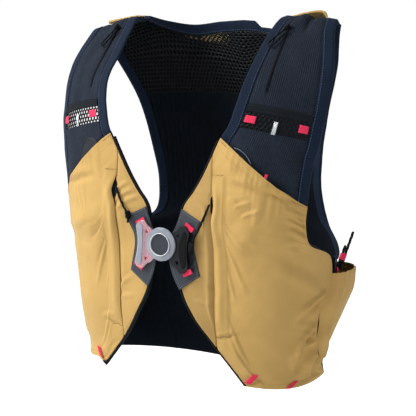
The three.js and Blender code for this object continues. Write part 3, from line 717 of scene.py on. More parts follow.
# %% pale floor
PALE = moulded_finish("pale_floor", "e8e8e8", "dcdcdc", 0.9, 0.05, 0.01)
GLOW_FROM, GLOW_TO, GLOW = 0.5, 1.25, 0.9  # metres from the spot below the vest, and strength
pale = PALE.node_tree
away = node(pale, "ShaderNodeVectorMath", {"operation": "LENGTH"},
            {0: node(pale, "ShaderNodeTexCoord").outputs["Object"]})
# The floor lies lower than its own origin, so the distance starts at its drop.
near, far = (math.hypot(FLOOR_DROP, reach) for reach in (GLOW_FROM, GLOW_TO))
glow = node(pale, "ShaderNodeMapRange", {"interpolation_type": "SMOOTHSTEP"},
            {0: away.outputs["Value"], 1: near, 2: far, 3: 0.0, 4: GLOW})
pale.nodes["Principled BSDF"].inputs["Emission Color"].default_value = (1, 1, 1, 1)
pale.links.new(glow.outputs[0], pale.nodes["Principled BSDF"].inputs["Emission Strength"])
floor_mesh.materials.append(PALE)
print("finishes in all:", len(bpy.data.materials))

# %% [markdown]
# Stitches, zip coils and other small things in a row follow a path, which is work for Geometry Nodes.
# The tree turns a polyline into points a pitch apart and sets a small bead on each, turned to the path
# and to the outward direction that the polyline carries. Realizing the beads makes them a plain mesh.

# %% opening and closing a node tree


def new_tree(name, inputs):
    """An empty tree with named inputs, and the sockets that give them."""
    tree = bpy.data.node_groups.new(name, "GeometryNodeTree")
    tree.interface.new_socket("Geometry", in_out="INPUT", socket_type="NodeSocketGeometry")
    for label, kind in inputs:
        tree.interface.new_socket(label, in_out="INPUT", socket_type=kind)
    tree.interface.new_socket("Geometry", in_out="OUTPUT", socket_type="NodeSocketGeometry")
    return tree, tree.nodes.new("NodeGroupInput").outputs


def close_tree(tree, given, geometry):
    """Every tree ends in Realize Instances and Set Material."""
    real = node(tree, "GeometryNodeRealizeInstances", None, {0: geometry})
    shaded = node(tree, "GeometryNodeSetShadeSmooth", None, {0: real.outputs[0]})
    inputs = {0: shaded.outputs[0], "Material": given["Finish"]}
    coated = node(tree, "GeometryNodeSetMaterial", None, inputs)
    node(tree, "NodeGroupOutput", None, {0: coated.outputs[0]})
    return tree


# %% node tree: a row of beads along a path
SIZES = [(label, "NodeSocketFloat") for label in ("Pitch", "Wide", "High", "Long")]
row_tree, given = new_tree("row of beads", [*SIZES, ("Finish", "NodeSocketMaterial")])
path = node(row_tree, "GeometryNodeMeshToCurve", None, {0: given["Geometry"]})
points = node(row_tree, "GeometryNodeCurveToPoints", {"mode": "LENGTH"},
              {0: path.outputs[0], "Length": given["Pitch"]})
out = node(row_tree, "GeometryNodeInputNamedAttribute", {"data_type": "FLOAT_VECTOR"}, {"Name": "out"})
turn = node(row_tree, "FunctionNodeAxesToRotation", {"primary_axis": "Z", "secondary_axis": "Y"},
            {0: points.outputs["Tangent"], 1: out.outputs[0]})
bead = node(row_tree, "GeometryNodeMeshUVSphere", None, {"Segments": 6, "Rings": 4, "Radius": 0.5})
size = node(row_tree, "ShaderNodeCombineXYZ", None, {0: given["Wide"], 1: given["High"], 2: given["Long"]})
bead = node(row_tree, "GeometryNodeTransform", None, {0: bead.outputs[0], "Scale": size.outputs[0]})
row = node(row_tree, "GeometryNodeInstanceOnPoints", None,
           {"Points": points.outputs["Points"], "Instance": bead.outputs[0], "Rotation": turn.outputs[0]})
close_tree(row_tree, given, row.outputs[0])
print("row tree:", len(row_tree.nodes), "nodes")

# %% growing plain meshes from a tree


def grown(name, source, tree, values, wall=0.0):
    """The plain mesh that a tree makes of a source mesh, with the modifier gone."""
    seed = bpy.data.objects.new(name + "_seed", source)
    bpy.context.scene.collection.objects.link(seed)
    grow = seed.modifiers.new("grow", "NODES")
    grow.node_group = tree
    keys = {i.name: i.identifier for i in tree.interface.items_tree if i.in_out == "INPUT"}
    for label, value in values.items():
        grow[keys[label]] = value
    if wall:
        thick = seed.modifiers.new("wall", "SOLIDIFY")
        thick.thickness = wall * MM
        thick.offset = 0
    mesh = bpy.data.meshes.new_from_object(seed.evaluated_get(bpy.context.evaluated_depsgraph_get()))
    bpy.data.objects.remove(seed)
    mesh.name = name
    obj = bpy.data.objects.new(name, mesh)
    bpy.context.scene.collection.objects.link(obj)
    return obj


def beads(name, paths, finish, pitch, wide, high, long):
    """One piece of beads along many paths, each a list of points and a list of outward directions."""
    points = np.concatenate([p for p, _ in paths]) * MM
    outs = np.concatenate([o for _, o in paths])
    edges, start = [], 0
    for p, _ in paths:
        edges += [(start + k, start + k + 1) for k in range(len(p) - 1)]
        start += len(p)
    mesh = bpy.data.meshes.new(name + "_path")
    mesh.from_pydata(points.tolist(), edges, [])
    carried = mesh.attributes.new("out", "FLOAT_VECTOR", "POINT")
    carried.data.foreach_set("vector", outs.astype(np.float32).ravel())
    sizes = {"Pitch": pitch * MM, "Wide": wide * MM, "High": high * MM, "Long": long * MM}
    obj = grown(name, mesh, row_tree, {**sizes, "Finish": finish})
    print(f"{name}: {len(obj.data.polygons)} faces along {len(paths)} paths")
    return obj


# %% lines of stitches


def sampled(grid, s, t):
    """A grid read between its points at shares s and t."""
    m, n = grid.shape[:2]
    x, y = np.clip(s, 0, 1) * (m - 1), np.clip(t, 0, 1) * (n - 1)
    i, j = np.minimum(x.astype(int), m - 2), np.minimum(y.astype(int), n - 2)
    a, b = (x - i)[..., None], (y - j)[..., None]
    low = grid[i, j] * (1 - a) + grid[i + 1, j] * a
    high = grid[i, j + 1] * (1 - a) + grid[i + 1, j + 1] * a
    return low * (1 - b) + high * b


stitch_paths = {"tan": [], "navy": [], "grey": [], "brown": []}


def sew(thread, top, outside, s, t, side=1, lift=0.1):
    """Records a line of stitches on a grid for its thread."""
    s, t = np.broadcast_arrays(np.asarray(s, float), np.asarray(t, float))
    flip = (side, 1, 1)
    out = unit(sampled(outside, s, t))
    stitch_paths[thread].append(((sampled(top, s, t) + out * lift) * flip, out * flip))


# %% [markdown]
# A net is the same idea the other way round: its cells are faces, and each face gets a hole.
# The tree insets every face by extruding it in place and shrinking the copy, then deletes the copies.
# A Solidify modifier gives the bars their thickness.

# %% node tree: a net from cells
net_tree, given = new_tree("net of cells", [("Hole", "NodeSocketFloat"), ("Finish", "NodeSocketMaterial")])
inset = node(net_tree, "GeometryNodeExtrudeMesh", {"mode": "FACES"},
             {"Mesh": given["Geometry"], "Offset Scale": 0.0, "Individual": True})
copies = inset.outputs["Top"]
shrunk = node(net_tree, "GeometryNodeScaleElements", {"domain": "FACE"},
              {"Geometry": inset.outputs["Mesh"], "Selection": copies, "Scale": given["Hole"]})
opened = node(net_tree, "GeometryNodeDeleteGeometry", {"domain": "FACE"},
              {"Geometry": shrunk.outputs[0], "Selection": copies})
close_tree(net_tree, given, opened.outputs[0])
print("net tree:", len(net_tree.nodes), "nodes")

# %% nets over a surface
NET_UV = 0.1  # metres of yarn pattern over a net


def honeycomb(columns, rows):
    """Six-sided cells over a unit square, squeezed to its border, as points and faces."""
    points, faces, known = [], [], {}

    def corner(x, y):
        key = (round(x * 6), round(y * 6))
        if key not in known:
            known[key] = len(points)
            points.append((min(max(x / columns, 0), 1), min(max(y / rows, 0), 1)))
        return known[key]

    ring = [(0.5, 1 / 6), (0.5, 5 / 6), (0, 7 / 6), (-0.5, 5 / 6), (-0.5, 1 / 6), (0, -1 / 6)]
    for j in range(rows):
        for i in range(columns + j % 2):
            x = i + 0.5 - 0.5 * (j % 2)
            face = [corner(x + dx, j + dy) for dx, dy in ring]
            if len({points[k] for k in face}) > 4:
                faces.append(face)
    return np.array(points), faces


def net_piece(name, at, columns, rows, hole, wall, finish):
    """A net over a surface. at gives the millimetre points of shares s and t."""
    shares, faces = honeycomb(columns, rows)
    mesh = bpy.data.meshes.new(name + "_cells")
    mesh.from_pydata((at(shares[:, 0], shares[:, 1]) * MM).tolist(), [], faces)
    write_uv(mesh, shares * NET_UV)
    obj = grown(name, mesh, net_tree, {"Hole": hole, "Finish": finish}, wall)
    print(f"{name}: {len(faces)} holes, {len(obj.data.polygons)} faces")
    return obj


# %% [markdown]
# The front halves. The tan pocket runs from the zip slit to the side seam and up to a slanted mouth.
# Its folds are of three kinds: what the solver finds, gathers along the elastic seams,
# and single folds that are listed in a small table, as shares across and rows along the front.

# %% sizes and folds of the tan pockets
CLOTH, LINING_WALL, LAYER, SEAM, EDGING, BINDING = 1.2, 2.0, 1.2, 0.5, 2.6, 13
SIDE_SEAM = 1.6
SLIT_X = 63
SLIT_OPEN = {"left": (5.7, 0.6, 3.4), "right": (6.2, 0.55, 6.0)}  # row, spread in rows, width
FLAP = (63, 79, -353, -172)  # left, right, foot and head of the zip flap, in the front view
SEAM_PULL = {"left": 1.2, "right": 0.3}  # how hard the side seam gathers the cloth
FLAP_HEIGHT = {"left": 0.75, "right": 0.4}
SLACK = {"left": 0.008, "right": 0.004}  # how much larger the cloth is than its place
PUFF, PLEAT, MOUTH_SWELL = 2.5, 2.5, 5  # how far the cloth stands out: middle, beside the slit, mouth
PUSH, SINK_MOST, SWELL_MOST = 0.25, -0.9, 3.0  # of the solver
MOUTH_HEM, HEM_GROOVE = 8.5, 0.5
SEAM_ROLL = 1.6  # the cloth rolls beside the lower side seam
POCKET_FOLDS = {
    # both ends, as u and v or as x and z in the front view, then bow, width and height in millimetres
    "left": [
        (86, -179, 154, -200, 1, 4.0, -4.2),
        (90, -171, 150, -189, -2, 6.0, 2.2),
        (92, -206, 110, -201, 1, 2.4, 1.3),
        (100, -216, 120, -210, 1, 2.6, 1.4),
        (84, -196, 96, -205, 1, 3.0, 0.8),
        (0.80, 6.55, 0.98, 6.05, 2, 2.6, 1.4),
        (0.84, 6.05, 0.99, 5.55, 2, 2.6, 1.6),
        (0.86, 5.55, 0.99, 5.10, 2, 2.8, 1.6),
        (0.99, 0.85, 0.79, 0.28, -4, 3.0, 5.0),
        (0.99, 1.25, 0.62, 0.46, -5, 3.4, 4.8),
        (0.99, 1.70, 0.74, 0.72, -4, 3.0, 4.2),
        (0.99, 2.70, 0.80, 1.95, -3, 3.4, 4.0),
        (64, -356, 92, -348, 1, 1.8, -1.5),
        (0.60, 3.50, 0.94, 2.60, 6, 9.0, 2.4),
        (0.52, 4.70, 0.92, 5.00, -6, 9.0, 2.2),
        (0.40, 4.10, 0.66, 5.30, 5, 10.0, 2.0),
    ],
    "right": [
        (92, -180, 150, -197, 0, 4.0, -2.4),
        (64, -356, 90, -349, 1, 1.8, -1.2),
        (72, -340, 96, -346, 2, 3.0, 0.8),
        (0.96, 1.30, 0.66, 0.55, -4, 5.0, 0.8),
        (0.52, 5.20, 0.80, 5.60, -5, 8.0, 1.2),
        (0.40, 3.10, 0.52, 5.40, 3, 12.0, 0.8),
    ],
}
TACKS = [
    # ends of short rows of brown stitches, as x and z in the front view
    (64, -172, 78, -172),
    (64, -354, 80, -352),
]


# %% the slit, and the folds of a table


def slit_u(v):
    """u of the zip slit, which runs straight down the front."""
    low, high = np.zeros(np.shape(v)), np.full(np.shape(v), 0.5)
    for _ in range(20):
        mid = (low + high) / 2
        inside = front.point(mid, v)[..., 0] < SLIT_X
        low, high = np.where(inside, mid, low), np.where(inside, high, mid)
    return low


def slit_gape(v, name):
    """How far the slit stands open, in millimetres."""
    middle, reach, width = SLIT_OPEN[name]
    return width * hump(v, middle, reach)


def table_folds(rows, u, v, across, along):
    """All folds of a table, with their ends found on the grid."""
    total = np.zeros(u.shape)
    for u0, v0, u1, v1, bend, width, height in rows:
        ends = []
        for a, b in ((u0, v0), (u1, v1)):
            if a > 2:
                a, b = locate(a, b)
            k = np.argmin((u - a) ** 2 + ((v - b) / 8) ** 2)
            ends.append((across.flat[k], along.flat[k]))
        total += fold(across, along, *ends, bend, width, height)
    return total


# %% tan pockets


def tan_pocket(name, side):
    s, t = spread(96, 140)
    v = t * (POCKET - s - 0.03)
    start = slit_u(v) + front.share(0.1, v, SEAM + slit_gape(v, name))
    u = np.where(s < 0.55, lerp(start, 0.55, s / 0.55), s)
    u = np.minimum(u, 1 - front.share(1, v, 0.1))
    outside = front.normal(u, v)
    puff = PUFF * np.sin(np.pi * s) * np.sin(np.pi * t)
    pleat = PLEAT * hump(s, 0.06, 0.05) * smooth(t, 0.15, 0.3) * (1 - smooth(t, 0.75, 0.9))
    mouth = MOUTH_SWELL * smooth(t, 0.75, 1) * np.sin(np.pi * s)
    rest = front.at(u, v, puff + pleat + mouth)
    x, z = rest[..., 0], rest[..., 2]
    left, right, foot, head = FLAP
    stiff = (x < right + 1) & (z > foot) & (z < head)  # the flap is taped, so it stays straight
    pinned = (s < 0.005) | (s > 0.995) | (t < 0.004) | (t > 0.996) | stiff
    top = settle(rest, outside, pinned, SLACK[name], PUSH, SINK_MOST, SWELL_MOST)
    across, along = cloth_lengths(rest)
    from_side = np.abs(across[-1] - across)
    from_mouth = along[:, -1:] - along
    lift = table_folds(POCKET_FOLDS[name], u, v, across, z)
    flap = smooth(x, left - 1, left + 1) * (1 - smooth(x, right - 1, right + 1))
    lift += FLAP_HEIGHT[name] * flap * smooth(z, foot - 1, foot + 1) * (1 - smooth(z, head - 1, head + 1))
    seam_pull = SEAM_PULL[name]
    slanted = along + 0.5 * across
    lift += seam_pull * gathers(from_side, along, 8.5, 15, 1.3, 3 + side) * smooth(t, 0.55, 0.75)
    lift += SEAM_ROLL * seam_pull * hump(from_side, 6, 4) * (1 - smooth(t, 0.5, 0.65))
    lift += seam_pull * gathers(from_side, slanted, 15, 16, 1.2, 7 + side) * (1 - smooth(t, 0.35, 0.5))
    lift += 0.35 * ripple(rest, 46, 11 + side) + 0.12 * ripple(rest, 15, 21 + side)
    lift += 0.4 * (1 - smooth(from_mouth, MOUTH_HEM - 1, MOUTH_HEM + 0.5))
    lift -= HEM_GROOVE * hump(from_mouth, MOUTH_HEM, 0.9)
    lift *= smooth(s, 0, 0.02) * (1 - smooth(s, 0.965, 1)) * smooth(t, 0, 0.015)
    top = top + outside * np.maximum(lift, SINK_MOST - puff - mouth)[..., None]
    out = outward(top, outside)
    obj = panel("tan_pocket_" + name, top, top - out * CLOTH, TAN, side)
    cut_from(rest)
    line = np.linspace(0.01, 0.99, 240)
    tall = np.interp(line, s[:, 0], along[:, -1])
    for distance in (1.8, MOUTH_HEM):
        sew("tan", top, out, line, 1 - distance / tall, side)
    sew("tan", top, out, 2.2 / np.ptp(across[:, 70]), line, side)
    sew("tan", top, out, 1 - 2.6 / np.ptp(across[:, 70]), line, side)
    sew("tan", top, out, line, 4 / along[48, -1], side)
    sew("brown", top, out, np.linspace(0.86, 0.985, 30), 1 - 2.5 / along[90, -1], side)
    sew("brown", top, out, np.linspace(0.015, 0.1, 20), 1 - 2.5 / along[6, -1], side)
    for x0, z0, x1, z1 in TACKS:
        ends = np.linspace((x0, z0), (x1, z1), 24)
        i, j = np.unravel_index([np.argmin((x - a) ** 2 + (z - b) ** 2) for a, b in ends], x.shape)
        sew("brown", top, out, s[i, j], t[i, j], side)
    stands_for(obj, "tan_cloth", "front_pocket_" + name)


for name, side in SIDES.items():
    tan_pocket(name, side)

# %% [markdown]
# Beside the slit lies the placket, the narrow tan strip along the front edge. The clasp tab creases it.
# Behind both is the dark lining, and a black edging is folded round the front edge.
# The edging is a narrow band with a rounded section, so it is made by the same grid with a curved lift.

# %% sizes and edges of the plackets and the lining
PLACKET_FOLDS = {
    "left": [
        (0.02, 5.75, 0.30, 5.20, 2, 2.5, 1.2),
        (0.02, 6.20, 0.20, 6.05, 1, 2.5, 0.9),
        (0.10, 3.30, 0.30, 2.70, 2, 3.0, 1.1),
        (0.06, 2.60, 0.22, 2.20, 2, 3.0, 1.0),
    ],
    "right": [
        (0.01, 5.55, 0.26, 5.10, 3, 2.6, 1.5),
        (0.02, 5.95, 0.24, 5.75, 2, 2.6, 1.2),
        (0.03, 6.40, 0.18, 6.20, 1, 2.4, 0.9),
        (0.12, 3.20, 0.30, 2.60, 2, 3.0, 1.2),
        (0.08, 2.50, 0.26, 2.10, 2, 3.0, 1.0),
    ],
}
# The left placket takes the darker tan, which is painted shade.
PLACKET_TAN_AND_PAINTED_SHADE = {"left": PAINTED_SHADE_TAN, "right": TAN}
PLACKET_ROLL = {"left": 2.6, "right": 0.4}  # the strip bulges beside the slit
PLACKET_ROWS, TUCK_DEPTH = (0.93, 7.7), 1.3  # where the slit is shut, the strip is tucked under the pocket
LINING_TOP = -CLOTH - LAYER
EDGING_SHARE = 14 / 16  # of the lining's length


def in_edge(v):
    """u where the neck binding ends."""
    return front.share(0, v, BINDING)


def out_edge(v):
    """u where the arm binding begins."""
    return 1 - front.share(1, v, BINDING)


def base_in(v):
    """Inner edge of the lining: the front edge, and higher up the binding."""
    return smooth(v, 7, 7.7) * (in_edge(v) + front.share(0, v, SEAM))


def base_out(v):
    """Outer edge of the lining: the side seam, and higher up the binding."""
    side_seam = 1 - front.share(1, v, SIDE_SEAM)
    return lerp(side_seam, out_edge(v) - front.share(1, v, SEAM), smooth(v, 6, 6.7))


# %% plackets, lining and edging


def placket(name, side):
    s, t = spread(30, 150)
    v = lerp(*PLACKET_ROWS, t)
    shut = 1 - slit_gape(v, name) / SLIT_OPEN[name][2]
    under = lerp(-SEAM - 0.1 * SLIT_OPEN[name][2], 2.0, smooth(shut, 0.1, 0.7))
    u = lerp(front.share(0, v, SEAM), slit_u(v) + front.share(0.1, v, under), s)
    outside = front.normal(u, v)
    rest = front.at(u, v)
    across = cloth_lengths(rest)[0]
    lift = table_folds(PLACKET_FOLDS[name], u, v, across, rest[..., 2]) + 0.2 * ripple(rest, 24, 31 + side)
    lift += 0.9 * np.sin(np.pi * s) * np.sin(np.pi * t)
    from_slit = (1 - s) * np.ptp(across, axis=0)
    rolled = smooth(v, 1.3, 2.0) * (1 - smooth(v, 5.0, 5.6)) * smooth(across, 4, 9)
    lift += PLACKET_ROLL[name] * rolled * hump(from_slit, 8.5, 3.6)
    lift = np.maximum(lift, -0.6) * smooth(t, 0, 0.04) * (1 - smooth(t, 0.96, 1))
    lift -= TUCK_DEPTH * (1 - smooth(from_slit, 1.2, 4.0)) * smooth(shut, 0.1, 0.7)
    top = rest + outside * lift[..., None]
    out = outward(top, outside)
    obj = panel("placket_" + name, top, top - out * CLOTH, PLACKET_TAN_AND_PAINTED_SHADE[name], side)
    cut_from(rest)
    line = np.linspace(0.02, 0.98, 200)
    width = np.interp(line, t[0], np.ptp(across, axis=0))
    sew("tan", top, out, np.minimum(3 / np.maximum(width, 6), 0.5), line, side)
    sew("tan", top, out, 1 - np.minimum(2.2 / np.maximum(width, 6), 0.4), line, side)
    stands_for(obj, "tan_cloth", "front_placket_" + name)


def lining(name, side):
    s, t = spread(48, 96)
    v = t * (MESH_LOW - 0.03)
    u = lerp(base_in(v), base_out(v), s)
    rest = front.at(u, v, LINING_TOP)
    obj = panel("lining_" + name, rest, front.at(u, v, LINING_TOP - LINING_WALL), LINING, side)
    cut_from(rest)
    stands_for(obj, "dark_mesh", "front_base_" + name)


def rounded_band(surface, u, v, low, high, share, free_start, free_end, wander=None):
    """Outer and inner grids of a band whose free edges are rounded. share runs from 0 to 1 across it."""
    half = np.full(share.shape, (high - low) / 2)
    for free, distance in ((free_start, share), (free_end, 1 - share)):
        if free:
            half = half * np.sqrt(np.clip(1 - (1 - np.clip(distance / free, 0, 1)) ** 2, 0.04, 1))
    middle = (high + low) / 2 + (0 if wander is None else wander)
    return surface.at(u, v, middle + half), surface.at(u, v, middle - half)


def edging(name, side):
    s, t = spread(10, 220)
    v = t * (MESH_LOW - 0.03) * EDGING_SHARE
    u = -front.share(0, v, lerp(0.2 + SEAM + EDGING, -1.5, s))
    sink = -1.1 * smooth(s, 0.45, 0.8)
    top, low = rounded_band(front, u, v, LINING_TOP - LINING_WALL, -0.3, s, 0.3, 0.2, sink)
    obj = panel("edging_" + name, top, low, BLACK, side)
    stands_for(obj, "black_trim", "front_edging_" + name)


for name, side in SIDES.items():
    placket(name, side)
    lining(name, side)
    edging(name, side)

# %% [markdown]
# The straps are ribbed cloth over thin padding. The ribs are real: a wave across the strap.
# Near the seams the padding is pressed down, and the left strap is dented where it meets the shoulder.

# %% ribbed straps
RIB_PITCH, RIB_HEIGHT = 2.4, 0.16
SEAM_SINK, END_SINK = 0.9, 0.6  # how far the padding is pressed down
UNDER_BINDING = 1.4  # how far the padding reaches under the bindings
ZIP_ROW = 23  # the row of the strap's grid where the zip's place across is read
ZIP_U, ZIP_HALF, ZIP_FROM, ZIP_TO = 0.29, 1.5, 11.6, 14.3
ZIP_GROOVE = 0.8
BELOW_MOUTH = 0.35  # rows that the ribbed panel goes on below the pocket mouth
UNDER_POCKET = 1.35  # how deep it lies there
STRAP_WALL = 3.0
SHOULDER_DENT = {"left": (0.56, 15.4, 7.0), "right": (0.60, 15.8, 2.0)}  # u, row, depth
PATCH_X, PATCH_Z, PATCH_RADIUS = 104, -154, 16.5


def ribs(across):
    return RIB_HEIGHT * np.cos(2 * np.pi * across / RIB_PITCH)


def arc_relief(points):
    """The embossed ring that shows through the cloth beside the pocket."""
    away = np.hypot(points[..., 0] - PATCH_X + 2, points[..., 2] - PATCH_Z + 3)
    return 0.5 * hump(away, PATCH_RADIUS, 0.9)


def strap_pad(name, side):
    s, t = spread(150, 56)
    v = lerp(BAND, SEAM_ROW, t)
    start, stop = (sign * front.share(end, v, UNDER_BINDING) for end, sign in ((0, -1), (1, 1)))
    u = lerp(base_in(v) + start, base_out(v) + stop, s)
    outside = front.normal(u, v)
    rest = front.at(u, v)
    across, along = cloth_lengths(rest)
    edge = np.minimum(across - across[0], across[-1] - across)
    end = np.minimum(along, along[:, -1:] - along)
    lift = ribs(across) * smooth(edge, 0.5, 3) + 0.5 * ripple(rest, 60, 41 + side)
    lift -= SEAM_SINK * (1 - smooth(edge, 0, 5)) + END_SINK * (1 - smooth(end, 0, 4))
    du, dv, depth = SHOULDER_DENT[name]
    lift -= depth * hump(u, du, 0.055) * smooth(v, dv - 1.9, dv)
    lift += 0.5 * depth * hump(u, du - 0.17, 0.1) * smooth(v, dv - 1.7, dv)
    zip_across = np.interp(ZIP_U, u[:, ZIP_ROW], across[:, ZIP_ROW])
    lift -= ZIP_GROOVE * hump(across, zip_across, 1.1) * smooth(v, ZIP_FROM - 0.3, ZIP_FROM + 0.1)
    top = rest + outside * lift[..., None]
    obj = panel("strap_pad_" + name, top, front.at(u, v, -STRAP_WALL), RIBBED, side)
    stands_for(obj, "ribbed_cloth", "strap_upper_" + name)


def ribbed_panel(name, side):
    s, t = spread(150, 36)
    low = POCKET - lerp(base_in(POCKET - s), base_out(POCKET - s), s) - BELOW_MOUTH
    v = lerp(low, MESH_LOW + 0.02, t)
    u = lerp(base_in(v), base_out(v), s)
    outside = front.normal(u, v)
    under = 1 - smooth(v - low, BELOW_MOUTH - 0.02, BELOW_MOUTH + 0.12)
    rest = front.at(u, v, -UNDER_POCKET * under)
    across = cloth_lengths(rest)[0]
    edge = np.minimum(across - across[0], across[-1] - across)
    lift = 0.7 * ribs(across) * smooth(edge, 0.5, 3) - 0.5 * (1 - smooth(edge, 0, 4))
    lift += 0.35 * ripple(rest, 40, 51 + side)
    if name == "left":
        lift += arc_relief(rest)
    top = rest + outside * lift[..., None]
    obj = panel("ribbed_panel_" + name, top, top - outside * CLOTH, RIBBED, side)
    cut_from(rest)
    stands_for(obj, "ribbed_cloth", "strap_pocket_" + name)


for name, side in SIDES.items():
    strap_pad(name, side)
    ribbed_panel(name, side)

# %% [markdown]
# Flat knitted binding runs along both edges of each strap, round the armholes and round the collar.
# It is a band that is thick at the seam and rounded at its free edge, and it wavers where it was sewn.

# %% bindings
TUCK = 1.5  # how deep a binding lies below these rows, where it comes out of the pocket
TUCKED = {"neck_binding_": (7.9, 8.2), "arm_binding_": (6.98, 7.12)}
STRAP_BAND, BACK_WALL, BINDING_RISE = 3.2, 4.0, 0.2
NECK_FROM, ARM_FROM, ARM_START = 7.6, (6.82, 6.72), 4.4  # rows where they begin


def waver(points, seed):
    return 0.22 * ripple(points, 30, seed) + 0.1 * ripple(points, 9, seed + 1)


def binding(name, side, label, node_name, surface, u, v, share, depth, free_start, free_end, seam):
    rest = surface.at(u, v, BINDING_RISE)
    sink = -TUCK * (1 - smooth(v, *TUCKED[label])) if label in TUCKED else 0
    wander = waver(rest, 61 + side) + sink
    top, under = rounded_band(surface, u, v, -depth, BINDING_RISE, share, free_start, free_end, wander)
    obj = panel(label + name, top, under, NAVY, side)
    cut_from(rest)
    out = outward(top, surface.normal(u, v))
    line = np.linspace(0.01, 0.99, 300)
    sew("navy", top, out, seam, line, side)
    stands_for(obj, "navy_binding", node_name + name)


for name, side in SIDES.items():
    s, t = spread(16, 180)
    v = lerp(NECK_FROM, SEAM_ROW, t)
    u = s * in_edge(v)
    binding(name, side, "neck_binding_", "strap_binding_in_", front, u, v, s, STRAP_BAND, 0.2, 0.1, 0.86)
    v = lerp(lerp(*ARM_FROM, s), SEAM_ROW, t)
    u = lerp(out_edge(v), 1, s)
    binding(name, side, "arm_binding_", "strap_binding_out_", front, u, v, s, STRAP_BAND, 0.1, 0.2, 0.14)
    v = lerp(ARM_START, BACK_TOP, t)
    u = lerp(1 - back.share(1, v, BINDING), 1, s)
    binding(name, side, "armhole_edge_", "armhole_binding_", back, u, v, s, BACK_WALL, 0.1, 0.2, 0.14)

# %% [markdown]
# A strip of the same binding joins each strap to the back. It is hardly seen, under the mouth of the shell.

# %% shoulder seams
STRAP_LAP, BACK_LAP = 0.14, 0.07  # rows that the strip reaches under each side
STRAP_DEPTH, BACK_DEPTH, SEAM_WALL = 1.2, 1.4, 1.2


def shoulder_seam(name, side):
    s, t = spread(60, 12)
    share = lerp(YOKE_NECK_SHARE, 1, s)
    strap_row, back_row = SEAM_ROW - STRAP_LAP, BACK_TOP - BACK_LAP
    on_strap, on_back = front.at(s, strap_row, -STRAP_DEPTH), back.at(share, back_row, -BACK_DEPTH)
    top = lerp(on_strap, on_back, t[..., None])
    out = outward(top, unit(front.normal(s, strap_row) + back.normal(share, back_row)))
    obj = panel("shoulder_seam_" + name, top, top - out * SEAM_WALL, NAVY, side)
    stands_for(obj, "navy_binding")


for name, side in SIDES.items():
    shoulder_seam(name, side)
print("shoulder seams:", len(SIDES))

# %% collar
COLLAR_WALL, COLLAR_FOOT, COLLAR_SEAM = 3, -0.12, 0.2
COLLAR_NOTCH = {-1: 0, 1: 0.6}  # how far each half is cut down beside the middle

s, t = spread(14, 90)
collar_halves = []
for side, notch in COLLAR_NOTCH.items():
    height = 1 - notch * smooth(t, 0.12, 0.2) * (1 - smooth(t, 0.4, 0.7))
    half = rounded_band(collar, lerp(COLLAR_FOOT, height, s), t * NECK_ROWS, -COLLAR_WALL, 0, s, 0.12, 0.3)
    for grid in half:
        grid[:, 0, 0] = 0
    collar_halves.append([grid * (side, 1, 1) for grid in half])
(right_top, right_low), (left_top, left_low) = collar_halves
collar_grid = np.concatenate([right_top[:, :0:-1], left_top], axis=1)
collar_under = np.concatenate([right_low[:, :0:-1], left_low], axis=1)
collar_band = panel("collar_band", collar_grid, collar_under, NAVY)
cut_from(collar_grid)
stands_for(collar_band, "navy_binding", "back_collar")
collar_out = outward(collar_grid, collar_grid - collar_under)
line = np.linspace(0.01, 0.99, 300)
sew("navy", collar_grid, collar_out, COLLAR_SEAM, line)
sew("navy", collar_under, -collar_out, COLLAR_SEAM, line)

# %% [markdown]
# Below the shoulder each strap has a window: a net of tall cells, an elastic tape above it,
# two red tabs and a silver one. The cells are real holes, so the light shows through the far one.

# %% window nets and tapes
WINDOW_CELLS, WINDOW_HOLE, WINDOW_WALL, WINDOW_DEPTH = (14, 5), 0.68, 1.0, 1.1
TAPE_ROUND = 0.12  # share of a tape's width that is rounded at each edge
TAPE, TAPE_LOW, TAPE_HIGH = 1.0, -2.4, 0.6


def between(low, high):
    """Reads u and v for shares of the strap between two rows."""
    def at(s, t):
        v = lerp(low, high, t)
        return lerp(base_in(v), base_out(v), s), v

    return at


def window(name, side):
    at = between(MESH_LOW - 0.06, MESH_TOP + 0.06)

    def net_at(s, t):
        return front.at(*at(s, t), -WINDOW_DEPTH) * (side, 1, 1)

    obj = net_piece("window_net_" + name, net_at, *WINDOW_CELLS, WINDOW_HOLE, WINDOW_WALL, NET)
    s, t = spread(40, 12)
    cut_from(front.at(*at(s, t)))
    stands_for(obj, "dark_mesh", "strap_mesh_" + name)

    s, t = spread(120, 16)
    u, v = between(MESH_TOP + 0.02, BAND - 0.04)(s, t)
    wave = 0.25 * np.cos(2 * np.pi * t * 4) + 0.08 * np.cos(2 * np.pi * s * 44)
    top, low = rounded_band(front, u, v, TAPE_LOW, TAPE_HIGH, t, TAPE_ROUND, TAPE_ROUND, wave)
    obj = panel("elastic_tape_" + name, top, low, ELASTIC, side)
    stands_for(obj, "ribbed_cloth", "strap_elastic_" + name)


# %% tabs
MOUTH_LOOP = (124.5, -171)  # small red loop above the left pocket's mouth
TAB_SINK = {"left": 0, "right": 2.6}  # the right side tab lies in the fold of the hem
TABS = [
    # piece, node, finish, slot, u, v, half width in u, half height in v, lift, slant in u
    ("tab_in_", "window_tab_in_", RED, "red_webbing", 0.215, 9.55, 0.06, 0.2, 0.0, 0),
    ("tab_out_", "window_tab_out_", RED, "red_webbing", 0.8, 9.55, 0.05, 0.2, 0.0, 0),
    ("tab_mid_", "window_tab_mid_", SILVER, "silver_tape", 0.5, 9.3, 0.022, 0.34, 0.6, 0),
    ("hem_tab_", "hem_tab_front_", RED, "red_webbing", 0.115, 0.205, 0.03, 0.125, 0.9, 0.17),
    ("hem_loop_", "hem_tab_side_", RED, "red_webbing", 0.505, 0.085, 0.03, 0.08, 1.0, 0.15),
]


